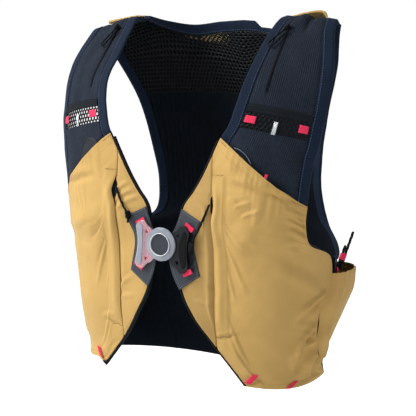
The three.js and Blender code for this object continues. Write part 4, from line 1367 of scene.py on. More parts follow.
def tab(surface, label, node_name, finish, slot, u, v, half_u, half_v, lift, slant, name, side):
    """A short piece of tape, sewn down at its ends and a little full between them."""
    s, t = spread(24, 24)
    fullness = 0.5 * np.sin(np.pi * t) + 0.12 * np.cos(2 * np.pi * s * 5)
    u = u + (s - 0.5) * 2 * half_u + (t - 0.5) * slant
    v = v + (t - 0.5) * 2 * half_v
    top, low = rounded_band(surface, u, v, lift, lift + TAPE, s, TAPE_ROUND, TAPE_ROUND, fullness)
    obj = panel(label + name, top, low, finish, side)
    nodes = [node_name + name] if node_name else []
    stands_for(obj, slot, *nodes)


for name, side in SIDES.items():
    window(name, side)
    for *row, lift, slant in TABS:
        sunk = TAB_SINK[name] if row[0] == "hem_loop_" else 0
        tab(front, *row, lift - sunk, slant, name, side)
loop_u, loop_v = (float(k) for k in locate(*MOUTH_LOOP))
tab(front, "mouth_loop_", None, RED, "red_webbing", loop_u, loop_v, 0.014, 0.045, 2.6, 0, "left", 1)
print("tabs:", len(TABS) * len(SIDES) + 1)

# %% [markdown]
# A net of the same kind covers the upper back, with smaller cells. A thin dark backing lies behind it.
# The backing ends below the collar, where dots of tan show through the net from the shell behind; the
# shell's inner face there is a painted-light tan.
# Below it the back is a smooth padded panel, dark inside, with faint upright ribs.

# %% edges of the back
NET_CELL, NET_HOLE, NET_WALL = 4.6, 0.58, 1.6
WING_SEAM = 3.0
PAD_TOP, PAD_RIB, PAD_RIB_PITCH = 10.14, 0.12, 6


def pad_rim(v):
    """Edge of the padded back, tucked into the armhole binding."""
    side_seam = 1 - back.share(1, v, 0.4)
    return lerp(side_seam, 1 - back.share(1, v, BINDING - 1.5), smooth(v, ARM_START - 0.4, ARM_START))


def back_rim(v):
    """The edge that the shell's sides follow."""
    side_seam = 1 - back.share(1, v, SIDE_SEAM)
    inset = BINDING + lerp(WING_SEAM, 2 * SEAM, smooth(v, 6.9, 7.6))
    return lerp(side_seam, 1 - back.share(1, v, inset), smooth(v, ARM_START - 0.4, ARM_START))


def neck_split(s, end):
    """Shares across the yoke, with a fixed share for the neckline."""
    over = (s - YOKE_NECK_SHARE) / (1 - YOKE_NECK_SHARE)
    return np.where(s < YOKE_NECK_SHARE, s, lerp(YOKE_NECK_SHARE, end, over))


# %% back net and its backing
NET_LOW = 10.06
NET_LIFT, NET_TOP_LIFT = -2.9, -1.6  # the net's place in the wall, which thins out towards the collar
BACKING_LIFT, BACKING_WALL = -1.0, 0.5
DOT_BAND = 0.6  # rows below the collar where the net has no backing
DOTS_FROM, DOTS_TO = (0.27, 0.29), (0.44, 0.455)  # shares across, from the right edge


def back_wall_at(s, v, lift):
    """A point of the upper back, from its right edge at s = 0 to its left edge at s = 1."""
    share = np.abs(2 * s - 1)
    p = back.at(neck_split(share, pad_rim(v)), v, lift)
    p[..., 0] = np.where(share < 1e-6, 0, p[..., 0] * np.sign(2 * s - 1))
    return p


def back_net_at(s, t):
    return back_wall_at(s, lerp(NET_LOW, BACK_TOP, t), lerp(NET_LIFT, NET_TOP_LIFT, smooth(t, 0.85, 1)))


s, t = spread(90, 40)
dotted = smooth(s, *DOTS_FROM) * (1 - smooth(s, *DOTS_TO))
backing_top = BACK_TOP - DOT_BAND * dotted
backing_v = lerp(NET_LOW, backing_top, t)
backing_grid = back_wall_at(s, backing_v, np.full(s.shape, BACKING_LIFT))
backing_low = back_wall_at(s, backing_v, np.full(s.shape, BACKING_LIFT - BACKING_WALL))
backing = panel("back_net_backing", backing_grid, backing_low, SMOOTH_BACK)
cut_from(backing_grid)
stands_for(backing, "dark_mesh")


def length_of(line):
    return float(np.linalg.norm(np.diff(line, axis=0), axis=1).sum())


net_width = length_of(back_net_at(np.linspace(0, 1, 80), np.full(80, 0.5)))
net_rise = length_of(back_net_at(np.full(40, 0.4), np.linspace(0, 1, 40)))
cells = (round(net_width / NET_CELL), round(net_rise / (NET_CELL * 0.87)))
back_net = net_piece("back_net", back_net_at, *cells, NET_HOLE, NET_WALL, NET)
cut_from(back_net_at(*spread(80, 40)))
stands_for(back_net, "dark_mesh", "back_mesh")

# %% back pad
s, t = spread(90, 100)
v = lerp(0, PAD_TOP, t)
u = s * pad_rim(v)
pad_out = back.normal(u, v)
pad_out[0, :, 0] = 0
pad_rest = back.point(u, v)
pad_rest[0, :, 0] = 0
rim_share = smooth(s, 0.955, 0.985)
pad_ribs = PAD_RIB * np.cos(2 * np.pi * cloth_lengths(pad_rest)[0] / PAD_RIB_PITCH) * smooth(s, 0.5, 0.65)
inner_lift = pad_ribs - BACK_WALL + 0.9 * hump(v, 9.9, 0.12)
inner_lift -= 0.8 * hump(s, 0.52, 0.012) * (1 - smooth(v, 8.5, 9.5))
inner_lift += 1.3 * rim_share
pad_rest = pad_rest - pad_out * (0.8 * rim_share)[..., None]
pad_top = both_halves(pad_rest)
pad_low = both_halves(pad_rest + unit(pad_out) * inner_lift[..., None])
pad_low = pad_low + 0.4 * both_halves(unit(pad_out)) * ripple(pad_low, 70, 71)[..., None]
back_pad = panel("back_pad_cloth", pad_top, pad_low, SMOOTH_BACK)
stands_for(back_pad, "dark_mesh", "back_pad")
print("back pad:", len(back_pad.data.polygons), "faces")

# %% [markdown]
# Over the back lies the tan shell, a loose cloth that makes the cargo space. Only its gathered mouths above
# the shoulders are in view, so the rest is finished plainly, with soft folds and sewn edges.

# %% shape of the shell
SHELL_BULGE, SHELL_MOUTH, SHELL_SIDE, SHELL_INSET = 9, 8.5, 0.6, 7
SHELL_SLACK, SHELL_PUSH, SHELL_SINK, SHELL_SWELL = 0.02, 0.15, -1.0, 4.0
MOUTH_SKEW = 1.35  # pushes the crest of a mouth outwards
PRESS_FROM, PRESS_TO = (0.11, 0.16), (0.38, 0.43)  # where the shell lies against the net
PRESSED = (-1.4, -0.2)  # and how high, below the collar and at it
CENTRE_ROUNDED = 9  # columns at each side of the middle, which has no crease
MOUTH_SLIP = {"left": (4, 0, -2), "right": (22, -10, -6.2)}  # how far the cloth has slipped there


def shell_half(across, along, slip, press):
    """Points, outward directions and shares of half the shell."""
    s, t = spread(across, along)
    v = lerp(0.1, BACK_TOP, t)
    edge = back_rim(v) - back.share(1, v, SHELL_INSET)
    wide = lerp(SHELL_SIDE, edge, smooth(v, 3.4, 6.4))
    u = lerp(s * wide, neck_split(s, wide), smooth(v, 6.4, 11))
    bulge = SHELL_BULGE * np.cos(np.pi / 2 * s) * np.sin(np.pi * np.clip(v / 11.5, 0, 1))
    over = np.clip((s - YOKE_NECK_SHARE) / (1 - YOKE_NECK_SHARE), 0, 1)
    mouth = SHELL_MOUTH * np.sin(np.pi * over**MOUTH_SKEW) ** 0.8 * smooth(v, YOKE_ROW, BACK_TOP)
    head = lerp(0.96, 0.97, smooth(s, YOKE_NECK_SHARE, 0.75))
    rise = 0.9 * (1 - smooth(s, 0.86, 1)) + 0.8 * smooth(v, 10.5, 11.5)
    row = np.where(v < YOKE_ROW, v, YOKE_ROW + (v - YOKE_ROW) * head)
    lift = bulge + mouth + rise + 1.2 + CLOTH
    near = smooth(s, *PRESS_FROM) * (1 - smooth(s, *PRESS_TO)) * smooth(v, 11.4, 11.55)
    lift = lerp(lift, lerp(*PRESSED, smooth(v, 11.7, BACK_TOP)), press * near)
    p, n = back.at(u, row, lift), back.normal(u, row)
    p = p + (np.sin(np.pi * over) * smooth(v, 10.8, BACK_TOP))[..., None] * np.array(slip)
    p[0, :, 0] = n[0, :, 0] = 0
    return p, unit(n), np.stack([s, v, over], -1)


def shell_grid(across, along):
    """The whole shell, smoothed over its middle."""
    right = shell_half(across, along, MOUTH_SLIP["right"], 1)
    left = shell_half(across, along, MOUTH_SLIP["left"], 0)
    grids = [np.concatenate([a[:0:-1] * (-1, 1, 1), b]) for a, b in zip(right, left)]
    middle = slice(across - CENTRE_ROUNDED, across + CENTRE_ROUNDED + 1)
    for grid in grids[:2]:
        for _ in range(30):
            strip = grid[middle]
            strip[1:-1] = (strip[:-2] + 2 * strip[1:-1] + strip[2:]) / 4
    return [grids[0], unit(grids[1]), grids[2]]


# %% tan shell
shell_rest, shell_outside, shell_shares = shell_grid(70, 150)
shell_edge = 1 - np.abs(shell_shares[..., 0])
shell_pinned = (shell_edge < 0.01) | (shell_shares[..., 1] < 0.15) | (shell_shares[..., 1] > 11.05)
solver = SHELL_SLACK, SHELL_PUSH, SHELL_SINK, SHELL_SWELL
shell_top = settle(shell_rest, shell_outside, shell_pinned, *solver)
shell_along = cloth_lengths(shell_rest)[1]
shell_lift = 0.6 * ripple(shell_rest, 70, 81) + 0.2 * ripple(shell_rest, 22, 82)
shell_lift += gathers(shell_edge * 110, shell_along, 12, 16, 1.2, 83)
shell_top = shell_top + shell_outside * np.maximum(shell_lift, -0.9)[..., None]
shell_out = outward(shell_top, shell_outside)
shell_low = shell_top - shell_out * CLOTH
# The inner face is the dark knit below and the near-white tan of painted light in its top rows.
tan_shell = panel("tan_shell", shell_top, shell_low, TAN, inner=(SMOOTH_BACK, PAINTED_LIGHT_TAN, 0.9))
cut_from(shell_rest)
stands_for(tan_shell, "tan_cloth", "back_shell")
line = np.linspace(0.01, 0.99, 300)
for inset in (0.012, 0.035):
    sew("tan", shell_top, shell_out, inset, line)
    sew("tan", shell_top, shell_out, 1 - inset, line)
    sew("tan", shell_top, shell_out, line, 1 - inset)
sew("tan", shell_top, shell_out, line, 0.02)

# %% [markdown]
# Cords are twisted from three strands. The tube's section has three lobes that turn as it goes,
# and both ends are rounded off. A knot is a tube along a trefoil, which is what an overhand knot is.

# %% twisted cords and knots
TWIST_PITCH = 7.0


def swept(line, radius_at, sides=18):
    """Points, faces and UV of a closed tube along a line. radius_at reads the distance and the angle."""
    way = unit(np.gradient(line, axis=0))
    up = unit(np.cross(way[0], (0.3, 0.2, 1.0)))
    frames = []
    for w in way:
        up = unit(up - w * (up @ w))
        frames.append((up, np.cross(w, up)))
    distance = np.concatenate([[0], np.linalg.norm(np.diff(line, axis=0), axis=1).cumsum()])
    angle = np.linspace(0, 2 * np.pi, sides, endpoint=False)
    radius = radius_at(distance[:, None], angle[None, :])
    a, b = (np.array([f[k] for f in frames])[:, None] for k in (0, 1))
    rings = line[:, None] + radius[..., None] * (np.cos(angle)[:, None] * a + np.sin(angle)[:, None] * b)
    n = len(line)
    ids = np.arange(n * sides).reshape(n, sides)
    right = np.roll(ids, -1, axis=1)
    faces = np.stack([ids[:-1], right[:-1], right[1:], ids[1:]], -1).reshape(-1, 4).tolist()
    faces += [ids[0, ::-1].tolist(), ids[-1].tolist()]
    uv = np.stack(np.broadcast_arrays(angle[None, :] * MM, distance[:, None] * MM), -1).reshape(-1, 2)
    return rings.reshape(-1, 3), faces, uv


def twisted(name, route, radius, finish, strands=3):
    """A cord along a route of points, and the line that it follows."""
    curve = curve_through(route)
    fine = curve(np.linspace(0, len(route) - 1, 600))
    reach = np.concatenate([[0], np.linalg.norm(np.diff(fine, axis=0), axis=1).cumsum()])
    steps = max(40, int(reach[-1] / 0.5))
    even = np.linspace(0, reach[-1], steps)
    line = np.stack([np.interp(even, reach, fine[:, k]) for k in range(3)], -1)

    def radius_at(d, angle):
        end = np.minimum(d, reach[-1] - d)
        cap = np.sqrt(np.clip(1 - (1 - np.clip(end / radius, 0, 1)) ** 2, 0.02, 1))
        lobes = np.cos(strands * angle + 2 * np.pi * d / TWIST_PITCH)
        return radius * cap * (0.88 + 0.14 * lobes)

    points, faces, uv = swept(line, radius_at)
    return add_piece(name, points, faces, finish, uv, crease=80), line


def knot(name, middle, size, finish, across, up):
    """An overhand knot, flattened a little towards the cloth."""
    t = np.linspace(0, 2 * np.pi, 120)
    a, b = unit(np.array(across, float)), unit(np.array(up, float))
    c = np.cross(a, b)
    away = 2 + np.cos(3 * t)
    loop = np.stack([away * np.cos(2 * t), away * np.sin(2 * t), 0.8 * np.sin(3 * t)], -1)
    line = middle + (loop @ np.stack([a, b, c])) * size / 3
    points, faces, uv = swept(line, lambda d, angle: size * 0.33 + 0 * d + 0 * angle, 10)
    return add_piece(name, points, faces, finish, uv, crease=80)


# %% [markdown]
# At each side a small tan pocket stands open, gathered at its rim. Behind its mouth run a black strap,
# a red tab and a stiff black pull.

# %% side pockets and adjusters
POCKET_START, POCKET_END, POCKET_GAPE = 0.62, 1.0, 20
FLOOR_BACK, FLOOR_FRONT, RIM_ROW = 1.9, 0.3, 3.4
SIDE_RIDGE, SIDE_VALLEY = 3.0, 2.2  # of the upright fold near the front
WEBBING_U, WEBBING_V, WEBBING_LOW, WEBBING_HIGH = (0.8, 0.985), (3.35, 4.15), 0.6, 2.0
ADJUSTER_U, ADJUSTER_V, ADJUSTER_LIFT = 0.93, 3.45, 5.4
ADJUSTER_LEAN = np.array((4, 26, 41))
ADJUSTER_RADIUS, SLEEVE_RADIUS = 1.7, 3.2
STRAND_STEP = np.array((-2.4, -2.0, 1.0))


def side_pocket(name, side):
    s, t = spread(84, 72)
    v = lerp(lerp(FLOOR_BACK, FLOOR_FRONT, s), RIM_ROW, t)
    parted = 0.022 * hump(t, 0.42, 0.13) + 0.02 * hump(t, 0.12, 0.07)
    u = lerp(POCKET_START, POCKET_END - parted, s)
    gape = POCKET_GAPE * np.sin(np.pi * s**1.15) ** 0.8 * np.minimum(1, 1.25 * t**0.6)
    outside = back.normal(u, v)
    rest = back.at(u, v, gape + lerp(0.6 + CLOTH, -0.9, smooth(s, 0.93, 1)))
    across, along = cloth_lengths(rest)
    below = along[:, -1:] - along
    edge = np.minimum(s, 1 - s)
    lift = gathers(below, across + 0.15 * below, 9, 26, 1.0, 91 + side) * smooth(edge, 0, 0.1)
    lift += 0.5 * ripple(rest, 34, 92 + side) * smooth(t, 0, 0.2)
    lift += SIDE_RIDGE * hump(s, 0.86, 0.028) * (1 - 0.6 * t)
    lift -= SIDE_VALLEY * hump(s, 0.8, 0.025) * (1 - 0.7 * t)
    lift += 0.5 * (1 - smooth(below, 5, 6.2)) - 0.4 * hump(below, 6, 0.8)
    top = rest + outside * (np.maximum(lift, -0.5) * smooth(edge, 0, 0.03))[..., None]
    out = outward(top, outside)
    obj = panel("side_pocket_cloth_" + name, top, top - out * CLOTH, TAN, side)
    cut_from(rest)
    line = np.linspace(0.02, 0.98, 160)
    for distance in (1.6, 5.6):
        sew("tan", top, out, line, 1 - distance / 75, side)
    stands_for(obj, "tan_cloth", "side_pocket_" + name)


def adjuster(name, side):
    s, t = spread(60, 24)
    wave = 0.1 * np.cos(2 * np.pi * t * 7)
    u, v = lerp(*WEBBING_U, s), lerp(*WEBBING_V, t)
    top, low = rounded_band(back, u, v, WEBBING_LOW, WEBBING_HIGH, t, 0.1, 0.1, wave)
    stands_for(panel("side_webbing_" + name, top, low, BLACK, side), "black_trim", "side_strap_" + name)
    place = ADJUSTER_U, ADJUSTER_V
    tab(back, "adjuster_loop_", "adjuster_tab_", RED, "red_webbing", *place, 0.03, 0.2, 2.8, 0, name, side)
    foot = back.at(*place, ADJUSTER_LIFT)

    def along_pull(shares, step):
        """Points of the pull at these shares of its length, set aside by a step."""
        return (foot + ADJUSTER_LEAN * np.array(shares)[:, None] + step) * (side, 1, 1)

    def oval(d, angle):
        return SLEEVE_RADIUS + 0.5 * np.cos(2 * angle) + 0 * d

    rope, _ = twisted("adjuster_rope_" + name, along_pull((0, 0.5, 1), 0), ADJUSTER_RADIUS, BLACK)
    stands_for(rope, "black_trim", "adjuster_pull_" + name)
    beside = along_pull((0, 0.31, 0.62), STRAND_STEP)
    strand, _ = twisted("adjuster_strand_" + name, beside, ADJUSTER_RADIUS, BLACK)
    stands_for(strand, "black_trim")
    sleeve = along_pull(np.linspace(0.24, 0.4, 12), STRAND_STEP / 2)
    points, faces, uv = swept(sleeve, oval, 20)
    stands_for(add_piece("adjuster_sleeve_" + name, points, faces, RED, uv, crease=60), "red_webbing")


for name, side in SIDES.items():
    side_pocket(name, side)
    adjuster(name, side)

# %% [markdown]
# The zip on each strap is a black tape with a coil of teeth and a loop of thin cord to pull it by.
# A second, thicker cord comes out of each front slit. The right one ends in a knot, the left in a flat tab.
# The routes are those of the solids, so the cords lie where the solids lie.

# %% sizes and routes of the cords
CORD_RADIUS, SLIT_CORD_RADIUS = 1.1, 1.4
ZIP_KNOT, SLIT_KNOT = 3.4, 4.2
ZIP_LOW, ZIP_HIGH = 0.1, 0.8
COIL = (1.3, 0.9, 0.6, 0.9)  # pitch, width, height and length of a tooth
PULL_HALF, PULL_LONG, PULL_HIGH = 3.6, 12, 1.1  # flat tab of the left slit's cord
LOOP_ROUTE = [(0, 0), (5, -6), (11, -14), (13, -18), (10, -20), (6, -17), (1, -9), (-3, -3)]
LOOP_X, LOOP_Z, LOOP_LIFT = 114, -14, 3.4
TAIL_ROUTE = {
    "left": [(63, -204, 2.2), (57, -219, 4), (50, -231, 5), (43, -241, 5.5), (39.5, -249, 5.5)],
    "right": [(62, -192, 2.2), (56, -204, 3.4), (50, -214, 4.4), (45, -221.5, 5), (46, -231, 4.4)],
}


def on_front(x, z, lift, side):
    """A point above the front, from its x and z in the front view."""
    return front.at(*locate(x, z), np.asarray(lift, float)) * (side, 1, 1)


# %% zips and their cords


def zip_line(name, side):
    s, t = spread(12, 120)
    v = lerp(ZIP_FROM, ZIP_TO, t)
    u = ZIP_U + front.share(ZIP_U, v, (s - 0.5) * 2 * ZIP_HALF)
    top, low = rounded_band(front, u, v, ZIP_LOW, ZIP_HIGH, s, 0.2, 0.2)
    tape = panel("zip_tape_" + name, top, low, BLACK, side)
    stands_for(tape, "black_trim", "strap_zip_" + name)
    line = np.linspace(0.02, 0.98, 120)
    out = outward(top, front.normal(u, v))
    paths = []
    for share in (0.36, 0.64):
        across = np.full(line.shape, share)
        p, n = sampled(top, across, line), sampled(out, across, line)
        paths.append(((p + n * 0.15) * (side, 1, 1), n * (side, 1, 1)))
    coil = beads("zip_coil_" + name, paths, BLACK, *COIL)
    stands_for(coil, "black_trim")

    reach = -1 if side > 0 else 1
    route = np.array([on_front(LOOP_X + reach * x, LOOP_Z + z, LOOP_LIFT, side) for x, z in LOOP_ROUTE])
    loop, path = twisted("zip_cord_" + name, route, CORD_RADIUS, BLACK)
    out = front.normal(*locate(LOOP_X, LOOP_Z)) * (side, 1, 1)
    tie = knot("zip_knot_" + name, route[0] - out * 0.4, ZIP_KNOT, BLACK, route[1] - route[0], out)
    stands_for(tie, "black_trim")
    stands_for(loop, "black_trim", "zip_pull_" + name)
    path = leaning(path)


# %% cords of the slits


def pull_tab(name, place, way, out):
    """A flat tab with rounded edges at the end of a cord."""
    s, t = spread(14, 20)
    long, across = unit(way), unit(np.cross(way, out))
    up = np.cross(across, long)
    wide = PULL_HALF * (1 - 0.25 * t)
    x, y = (2 * s - 1) * wide, (t - 0.15) * PULL_LONG
    round_s = np.sqrt(np.clip(1 - (2 * s - 1) ** 4, 0.03, 1))
    round_t = np.sqrt(np.clip(1 - (2 * t - 1) ** 6, 0.03, 1))
    base = place + x[..., None] * across + y[..., None] * long
    high = (PULL_HIGH * round_s * round_t)[..., None] * up
    return panel(name, base + high, base - high, BLACK)


def slit_cord(name, side):
    route = np.array([on_front(x, z, lift, side) for x, z, lift in TAIL_ROUTE[name]])
    tail, path = twisted("slit_cord_" + name, route, SLIT_CORD_RADIUS, BLACK)
    stands_for(tail, "black_trim", "slit_pull_" + name)
    way = route[-1] - route[-2]
    out = front.normal(*locate(*TAIL_ROUTE[name][-2][:2])) * (side, 1, 1)
    if name == "right":
        end = knot("slit_knot_" + name, route[3], SLIT_KNOT, BLACK, route[4] - route[2], out)
    else:
        end = pull_tab("slit_tab_" + name, route[-1] + out * 2.0, way, out)
    stands_for(end, "black_trim")


for name, side in SIDES.items():
    zip_line(name, side)
    slit_cord(name, side)

# %% [markdown]
# The clasp joins the front halves. Its tabs are bonded film sewn to the front edge, with a stitched border.
# The red webs, the two half plates, the ring and the disc are stacked towards the front.
# A flat outline with rounded corners is drawn as a curve, which Blender fills, thickens and bevels.

# %% clasp tabs
TAB_ROWS = [
    # in_x, in_z, out_x, out_z
    (21, -303, 46, -286),
    (13, -287, 43, -273),
    (8.5, -268, 39.5, -256),
    (9.5, -246, 40, -245),
    (17, -230, 43, -237),
    (24, -212, 50, -224),
]
FILM_TOP, FILM_FOOT = 2.3, 0.9
FILM_SEAM, FILM_END_SEAM = 0.085, 0.03  # shares across and along


def clasp_tab(name, side):
    s, t = spread(36, 90)
    read = [column_of([r[k] for r in TAB_ROWS]) for k in range(4)]
    in_x, in_z, out_x, out_z = (c(t * (len(TAB_ROWS) - 1)) for c in read)
    u, v = locate(lerp(in_x, out_x, s), lerp(in_z, out_z, s))
    edge = np.minimum(np.minimum(s, 1 - s) * 30, np.minimum(t, 1 - t) * 85)
    lift = -0.5 * (1 - smooth(edge, 0, 1.5)) - 0.3 * hump(edge, 2.6, 0.6)
    top = front.at(u, v, FILM_TOP + lift)
    obj = panel("clasp_tab_film_" + name, top, front.at(u, v, FILM_FOOT), FILM, side)
    out = outward(top, front.normal(u, v))
    line = np.linspace(0.03, 0.97, 120)
    for share in (FILM_SEAM, 1 - FILM_SEAM):
        sew("grey", top, out, share, line, side)
    for share in (FILM_END_SEAM, 1 - FILM_END_SEAM):
        sew("grey", top, out, np.linspace(FILM_SEAM, 1 - FILM_SEAM, 50), share, side)
    return stands_for(obj, "grey_film", "clasp_tab_" + name)


for name, side in SIDES.items():
    print("clasp tab:", clasp_tab(name, side).name)

# %% outlines of the clasp
CLASP_X, CLASP_Z, CLASP_FACE, CLASP_TURN = 2, -252, -97.9, math.radians(3)
WEB_DEPTH, PLATE_DEPTH, PLATE_GAP, PLATE_DROP = 1.2, 2.6, 0.4, 3.2
PLATE_EDGE = [(9, 13), (14, 18.5), (20, 21.5), (24, 27), (30, 27), (35.5, 19.5), (33, 8), (32.5, 0)]
PLATE_NICK = [(18.5, 14), (22, 18.5), (22.5, 13)]  # three-sided hole beside the ring
BAR_EDGE = [(26.5, 21), (31, 26), (35.3, 20.5), (32, 9), (31.5, 0)]
BAR_INNER = [(26.5, 21), (26, 10), (25.6, 0)]
WING_EDGE = [(22.5, 3.5), (23.5, 9), (28, 21.5), (32.5, 18.5), (31.8, 7), (31.4, 0)]
WEB_END = [(27, 25.5), (29, 31), (40, 25), (36.5, 20)]
WEB_BELOW = [
    (15, 10), (19, 17), (24.5, 24), (28, 30.5), (38.5, 24), (35, 17), (29, 18), (25.6, 10), (25.6, 0),
]
WEB_RIBS = 5
RECESS_EDGE = [(30, 18), (36, 18.5), (39, 13), (38.8, 7), (38.5, 0)]
FLANGE_PROFILE = [
    (12.2, 0), (19, 0), (19, 1.6), (18.2, 2.2), (15.6, 2.9), (14.2, 3.2), (13.6, 3.2), (12.2, 2.6),
]
RIM_PROFILE = [(12.0, 2.8), (13.1, 3.3), (13.0, 4.6), (12.6, 5.0), (12.0, 4.4)]
DISC_PROFILE = [(0.01, 0), (11.6, 0), (11.6, 2.7), (11.1, 3.2), (6, 3.1), (0.01, 2.9)]


def clasp_place(x, high, z):
    """Points of the clasp, from its own front view and height."""
    c, s = math.cos(CLASP_TURN), math.sin(CLASP_TURN)
    return np.stack([CLASP_X + x * c + z * s, CLASP_FACE - high, CLASP_Z - x * s + z * c], -1)


def whole(half, side):
    """The whole outline of a plate from its upper half, which ends on its middle line."""
    mirrored = [(x, -z) for x, z in half[-2::-1]]
    return [(x * side, z - PLATE_DROP) for x, z in half + mirrored]


def twice(outline, side):
    """An outline and its mirror image below the middle line."""
    return [[(x * side, z * way - PLATE_DROP) for x, z in outline] for way in (1, -1)]


def rounded(outline, radius, steps=6):
    """The outline with its corners rounded by short curves."""
    p = np.array(outline, float)
    before, after = np.roll(p, 1, axis=0), np.roll(p, -1, axis=0)
    made = []
    for a, b, c in zip(before, p, after):
        cut = min(radius, 0.45 * np.linalg.norm(a - b), 0.45 * np.linalg.norm(c - b))
        start, end = b + unit(a - b) * cut, b + unit(c - b) * cut
        for k in np.linspace(0, 1, steps):
            made.append((1 - k) ** 2 * start + 2 * k * (1 - k) * b + k * k * end)
    return np.array(made)


# %% flat and turned pieces


def slab(name, outlines, base, depth, bevel, finish):
    """A flat plate of filled outlines, with bevelled edges, set on the clasp at a height."""
    curve = bpy.data.curves.new(name, "CURVE")
    curve.dimensions = "2D"
    curve.fill_mode = "BOTH"
    curve.extrude = depth / 2 - bevel
    curve.bevel_depth = bevel
    curve.bevel_resolution = 3
    curve.offset = -bevel
    for outline in outlines:
        spline = curve.splines.new("POLY")
        spline.points.add(len(outline) - 1)
        rest = np.tile((0.0, 1.0), (len(outline), 1))
        spline.points.foreach_set("co", np.hstack([outline, rest]).ravel())
        spline.use_cyclic_u = True
    flat = bpy.data.objects.new(name + "_flat", curve)
    bpy.context.scene.collection.objects.link(flat)
    mesh = bpy.data.meshes.new_from_object(flat.evaluated_get(bpy.context.evaluated_depsgraph_get()))
    bpy.data.objects.remove(flat)
    co = np.zeros(len(mesh.vertices) * 3)
    mesh.vertices.foreach_get("co", co)
    x, z, h = co.reshape(-1, 3).T
    faces = [list(p.vertices)[::-1] for p in mesh.polygons]
    bpy.data.meshes.remove(mesh)
    uv = np.stack([x + z, x - z], -1) * MM * math.sqrt(0.5)
    return add_piece(name, clasp_place(x, h + base + depth / 2, z), faces, finish, uv, crease=35)


def turned(name, profile, base, finish, steps=96):
    """A round piece of the clasp from half its section."""
    p = rounded(profile, 0.5, 4)
    angle = np.linspace(0, 2 * np.pi, steps, endpoint=False)[:, None]
    points = clasp_place(p[:, 0] * np.cos(angle), base + p[:, 1] + 0 * angle, p[:, 0] * np.sin(angle))
    n = len(p)
    ids = np.arange(steps * n).reshape(steps, n)
    right = np.roll(ids, -1, axis=0)
    up, right_up = np.roll(ids, -1, axis=1), np.roll(right, -1, axis=1)
    faces = np.stack([ids, right, right_up, up], -1).reshape(-1, 4)
    return add_piece(name, points.reshape(-1, 3), faces, finish, crease=35)


# %% clasp webs, plates, ring and disc


def clasp():
    plate_base = WEB_DEPTH + PLATE_GAP
    ring_base = WEB_DEPTH + PLATE_DEPTH + 2 * PLATE_GAP
    for name, side in SIDES.items():
        ends = twice(WEB_END, side) if side > 0 else [whole(WEB_BELOW, side)]
        web = slab("clasp_webbing_" + name, [rounded(e, 0.8) for e in ends], 0, WEB_DEPTH, 0.25, RED)
        stands_for(web, "red_webbing", "clasp_web_" + name)
        finish, slot = (DARK, "dark_plastic") if side > 0 else (CLEAR, "clear_plastic")
        nicks = [rounded(n, 0.8) for n in twice(PLATE_NICK, side)]
        outlines = [rounded(whole(PLATE_EDGE, side), 2.5), *nicks]
        plate = slab("half_plate_" + name, outlines, plate_base, PLATE_DEPTH, 0.5, finish)
        stands_for(plate, slot, "clasp_plate_" + name)
    plate_top = plate_base + PLATE_DEPTH
    wing = slab("plate_wing_left", [rounded(whole(WING_EDGE, 1), 2)], plate_top - 0.2, 0.9, 0.35, WING)
    stands_for(wing, "dark_plastic")
    for way, outline in zip(("upper", "lower"), twice(WEB_END, 1)):
        a, b, c, d = np.array(outline)
        inner, outer = np.linspace(a, d, WEB_RIBS + 1), np.linspace(b, c, WEB_RIBS + 1)
        edges = list(zip(inner, outer))
        web_ribs = [rounded([*near, *far[::-1]], 0.5) for near, far in zip(edges, edges[1:])]
        loop = slab("web_loop_" + way, web_ribs, WEB_DEPTH - 0.3, 1.0, 0.45, RED)
        stands_for(loop, "red_webbing")
    recess = slab("plate_recess_left", [rounded(whole(RECESS_EDGE, 1), 1.5)], 0, 0.9, 0.2, BLACK)
    stands_for(recess, "black_trim")
    bar_outline = whole(BAR_EDGE, -1) + whole(BAR_INNER, -1)[::-1]
    bar = slab("plate_bar_right", [rounded(bar_outline, 0.8)], plate_top - 0.2, 1.0, 0.35, RING_CLEAR)
    stands_for(bar, "clear_plastic")
    ring = turned("clasp_collar", FLANGE_PROFILE, ring_base, RING_CLEAR)
    stands_for(ring, "clear_plastic", "clasp_ring")
    # The rim's near-white colour is a painted highlight.
    rim = turned("clasp_rim", RIM_PROFILE, ring_base, RIM_PAINTED_HIGHLIGHT)
    stands_for(rim, "clear_plastic")
    disc = turned("clasp_button", DISC_PROFILE, ring_base, DISC_GREY)
    stands_for(disc, "grey_plastic", "clasp_disc")
    print("clasp pieces made")


clasp()

# %% [markdown]
# On the right a round patch shows above the pocket: a low disc with raised rings.
# It lies on the front surface, so its grid is a disc of rings and spokes lifted from that surface.

# %% round patch
s, t = spread(72, 40)
angle, radius = s * 2 * np.pi, (t * 0.999 + 0.001) * PATCH_RADIUS
patch_u, patch_v = locate(PATCH_X + radius * np.cos(angle), PATCH_Z + radius * np.sin(angle))
patch_lift = 0.55 - 0.35 * smooth(t, 0.94, 1)
for ring in (1.6, 3.4):
    patch_lift = patch_lift + 0.7 * hump(radius, PATCH_RADIUS - ring, 0.5)
patch_top, patch_low = front.at(patch_u, patch_v, patch_lift), front.at(patch_u, patch_v, 0.2)
patch = panel("round_patch_disc", patch_top, patch_low, PATCH, -1)
stands_for(patch, "dark_plastic", "round_patch_right")
print("round patch:", 2 * PATCH_RADIUS, "mm across")

# %% [markdown]
# Two small edges are left. The shell's mouths have a rolled rim, and a fine grey piping curves above
# the left pocket.

# %% rolled rims and piping
ROLL_RADIUS, PIPING_RADIUS, PIPING_LIFT = 1.7, 0.5, 1.6
PIPING_ROUTE = [(90, -141), (95, -142.5), (100, -145.5), (104, -149.5), (107, -154), (109, -158)]


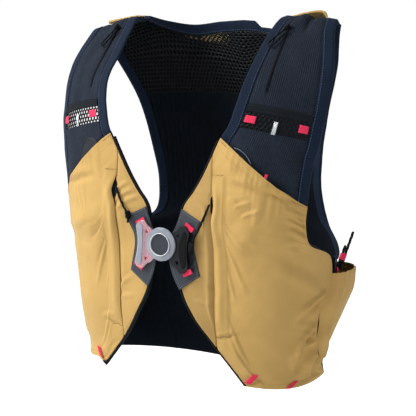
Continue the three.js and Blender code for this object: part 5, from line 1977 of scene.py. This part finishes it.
def tube(name, line, radius, finish, slot):
    """A plain round edge along a line, closed at both ends."""
    even = curve_through(line)(np.linspace(0, len(line) - 1, 160))

    def radius_at(d, angle):
        taper = np.clip(np.minimum(d, d[-1] - d) / (3 * radius) + 0.05, 0, 1) ** 0.5
        return radius * taper * (1 + 0.06 * np.sin(d * 0.9) + 0 * angle)

    points, faces, uv = swept(even, radius_at, 12)
    stands_for(add_piece(name, points, faces, finish, uv, crease=80), slot)


for name, side in SIDES.items():
    over = np.where(shell_shares[:, -1, 0] * side > 0, shell_shares[:, -1, 2], 0)
    open_part = (over > 0.02) & (over < 0.98)
    brim = shell_top[open_part, -1] - shell_out[open_part, -1] * (CLOTH / 2)
    tube("shell_rim_" + name, brim[::3], ROLL_RADIUS, TAN, "tan_cloth")
piping = np.array([on_front(x, z, PIPING_LIFT, 1) for x, z in PIPING_ROUTE])
tube("mouth_piping_left", piping, PIPING_RADIUS, PIPING, "grey_film")
print("piping:", round(length_of(piping)), "mm")

# %% [markdown]
# All the stitches that the pieces asked for are made at the end, one piece for each thread.

# %% stitches
THREADS = {
    # light and dark colour, sheen, slot, then pitch, width, height and length of a stitch
    "tan": ("d2a868", "9c7840", 0.1, "tan_cloth", 3.2, 0.55, 0.4, 2.4),
    "navy": ("5a6a88", "34415a", 0.1, "navy_binding", 3.0, 0.55, 0.4, 2.2),
    "brown": ("7c5a30", "553c1e", 0.05, "tan_cloth", 2.0, 0.7, 0.4, 1.7),
    "grey": ("8a8f98", "5c6068", 0.1, "grey_film", 2.6, 0.5, 0.4, 1.9),
}
YARN = 0.0006  # metres
for thread, (light, dark, sheen, slot, *sizes) in THREADS.items():
    finish = cloth_finish(thread + "_thread", light, dark, YARN, YARN, 0.7, sheen, 0.05)
    stands_for(beads("stitches_" + thread, stitch_paths[thread], finish, *sizes), slot)

# %% [markdown]
# Now the shoulders take their lean. One smooth shift of every point near their outer corners
# moves all the layers alike.

# %% lean of the shoulders
moved = 0
for obj in bpy.context.scene.objects:
    if obj.type != "MESH" or obj == floor or obj.name in frame["nodes"]:
        continue
    co = np.zeros(len(obj.data.vertices) * 3)
    obj.data.vertices.foreach_get("co", co)
    before = co.reshape(-1, 3) / MM
    after = leaning(before)
    if np.abs(after - before).max() > 0.01:
        obj.data.vertices.foreach_set("co", (after * MM).ravel())
        obj.data.update()
        moved += 1
print("pieces that lean:", moved)
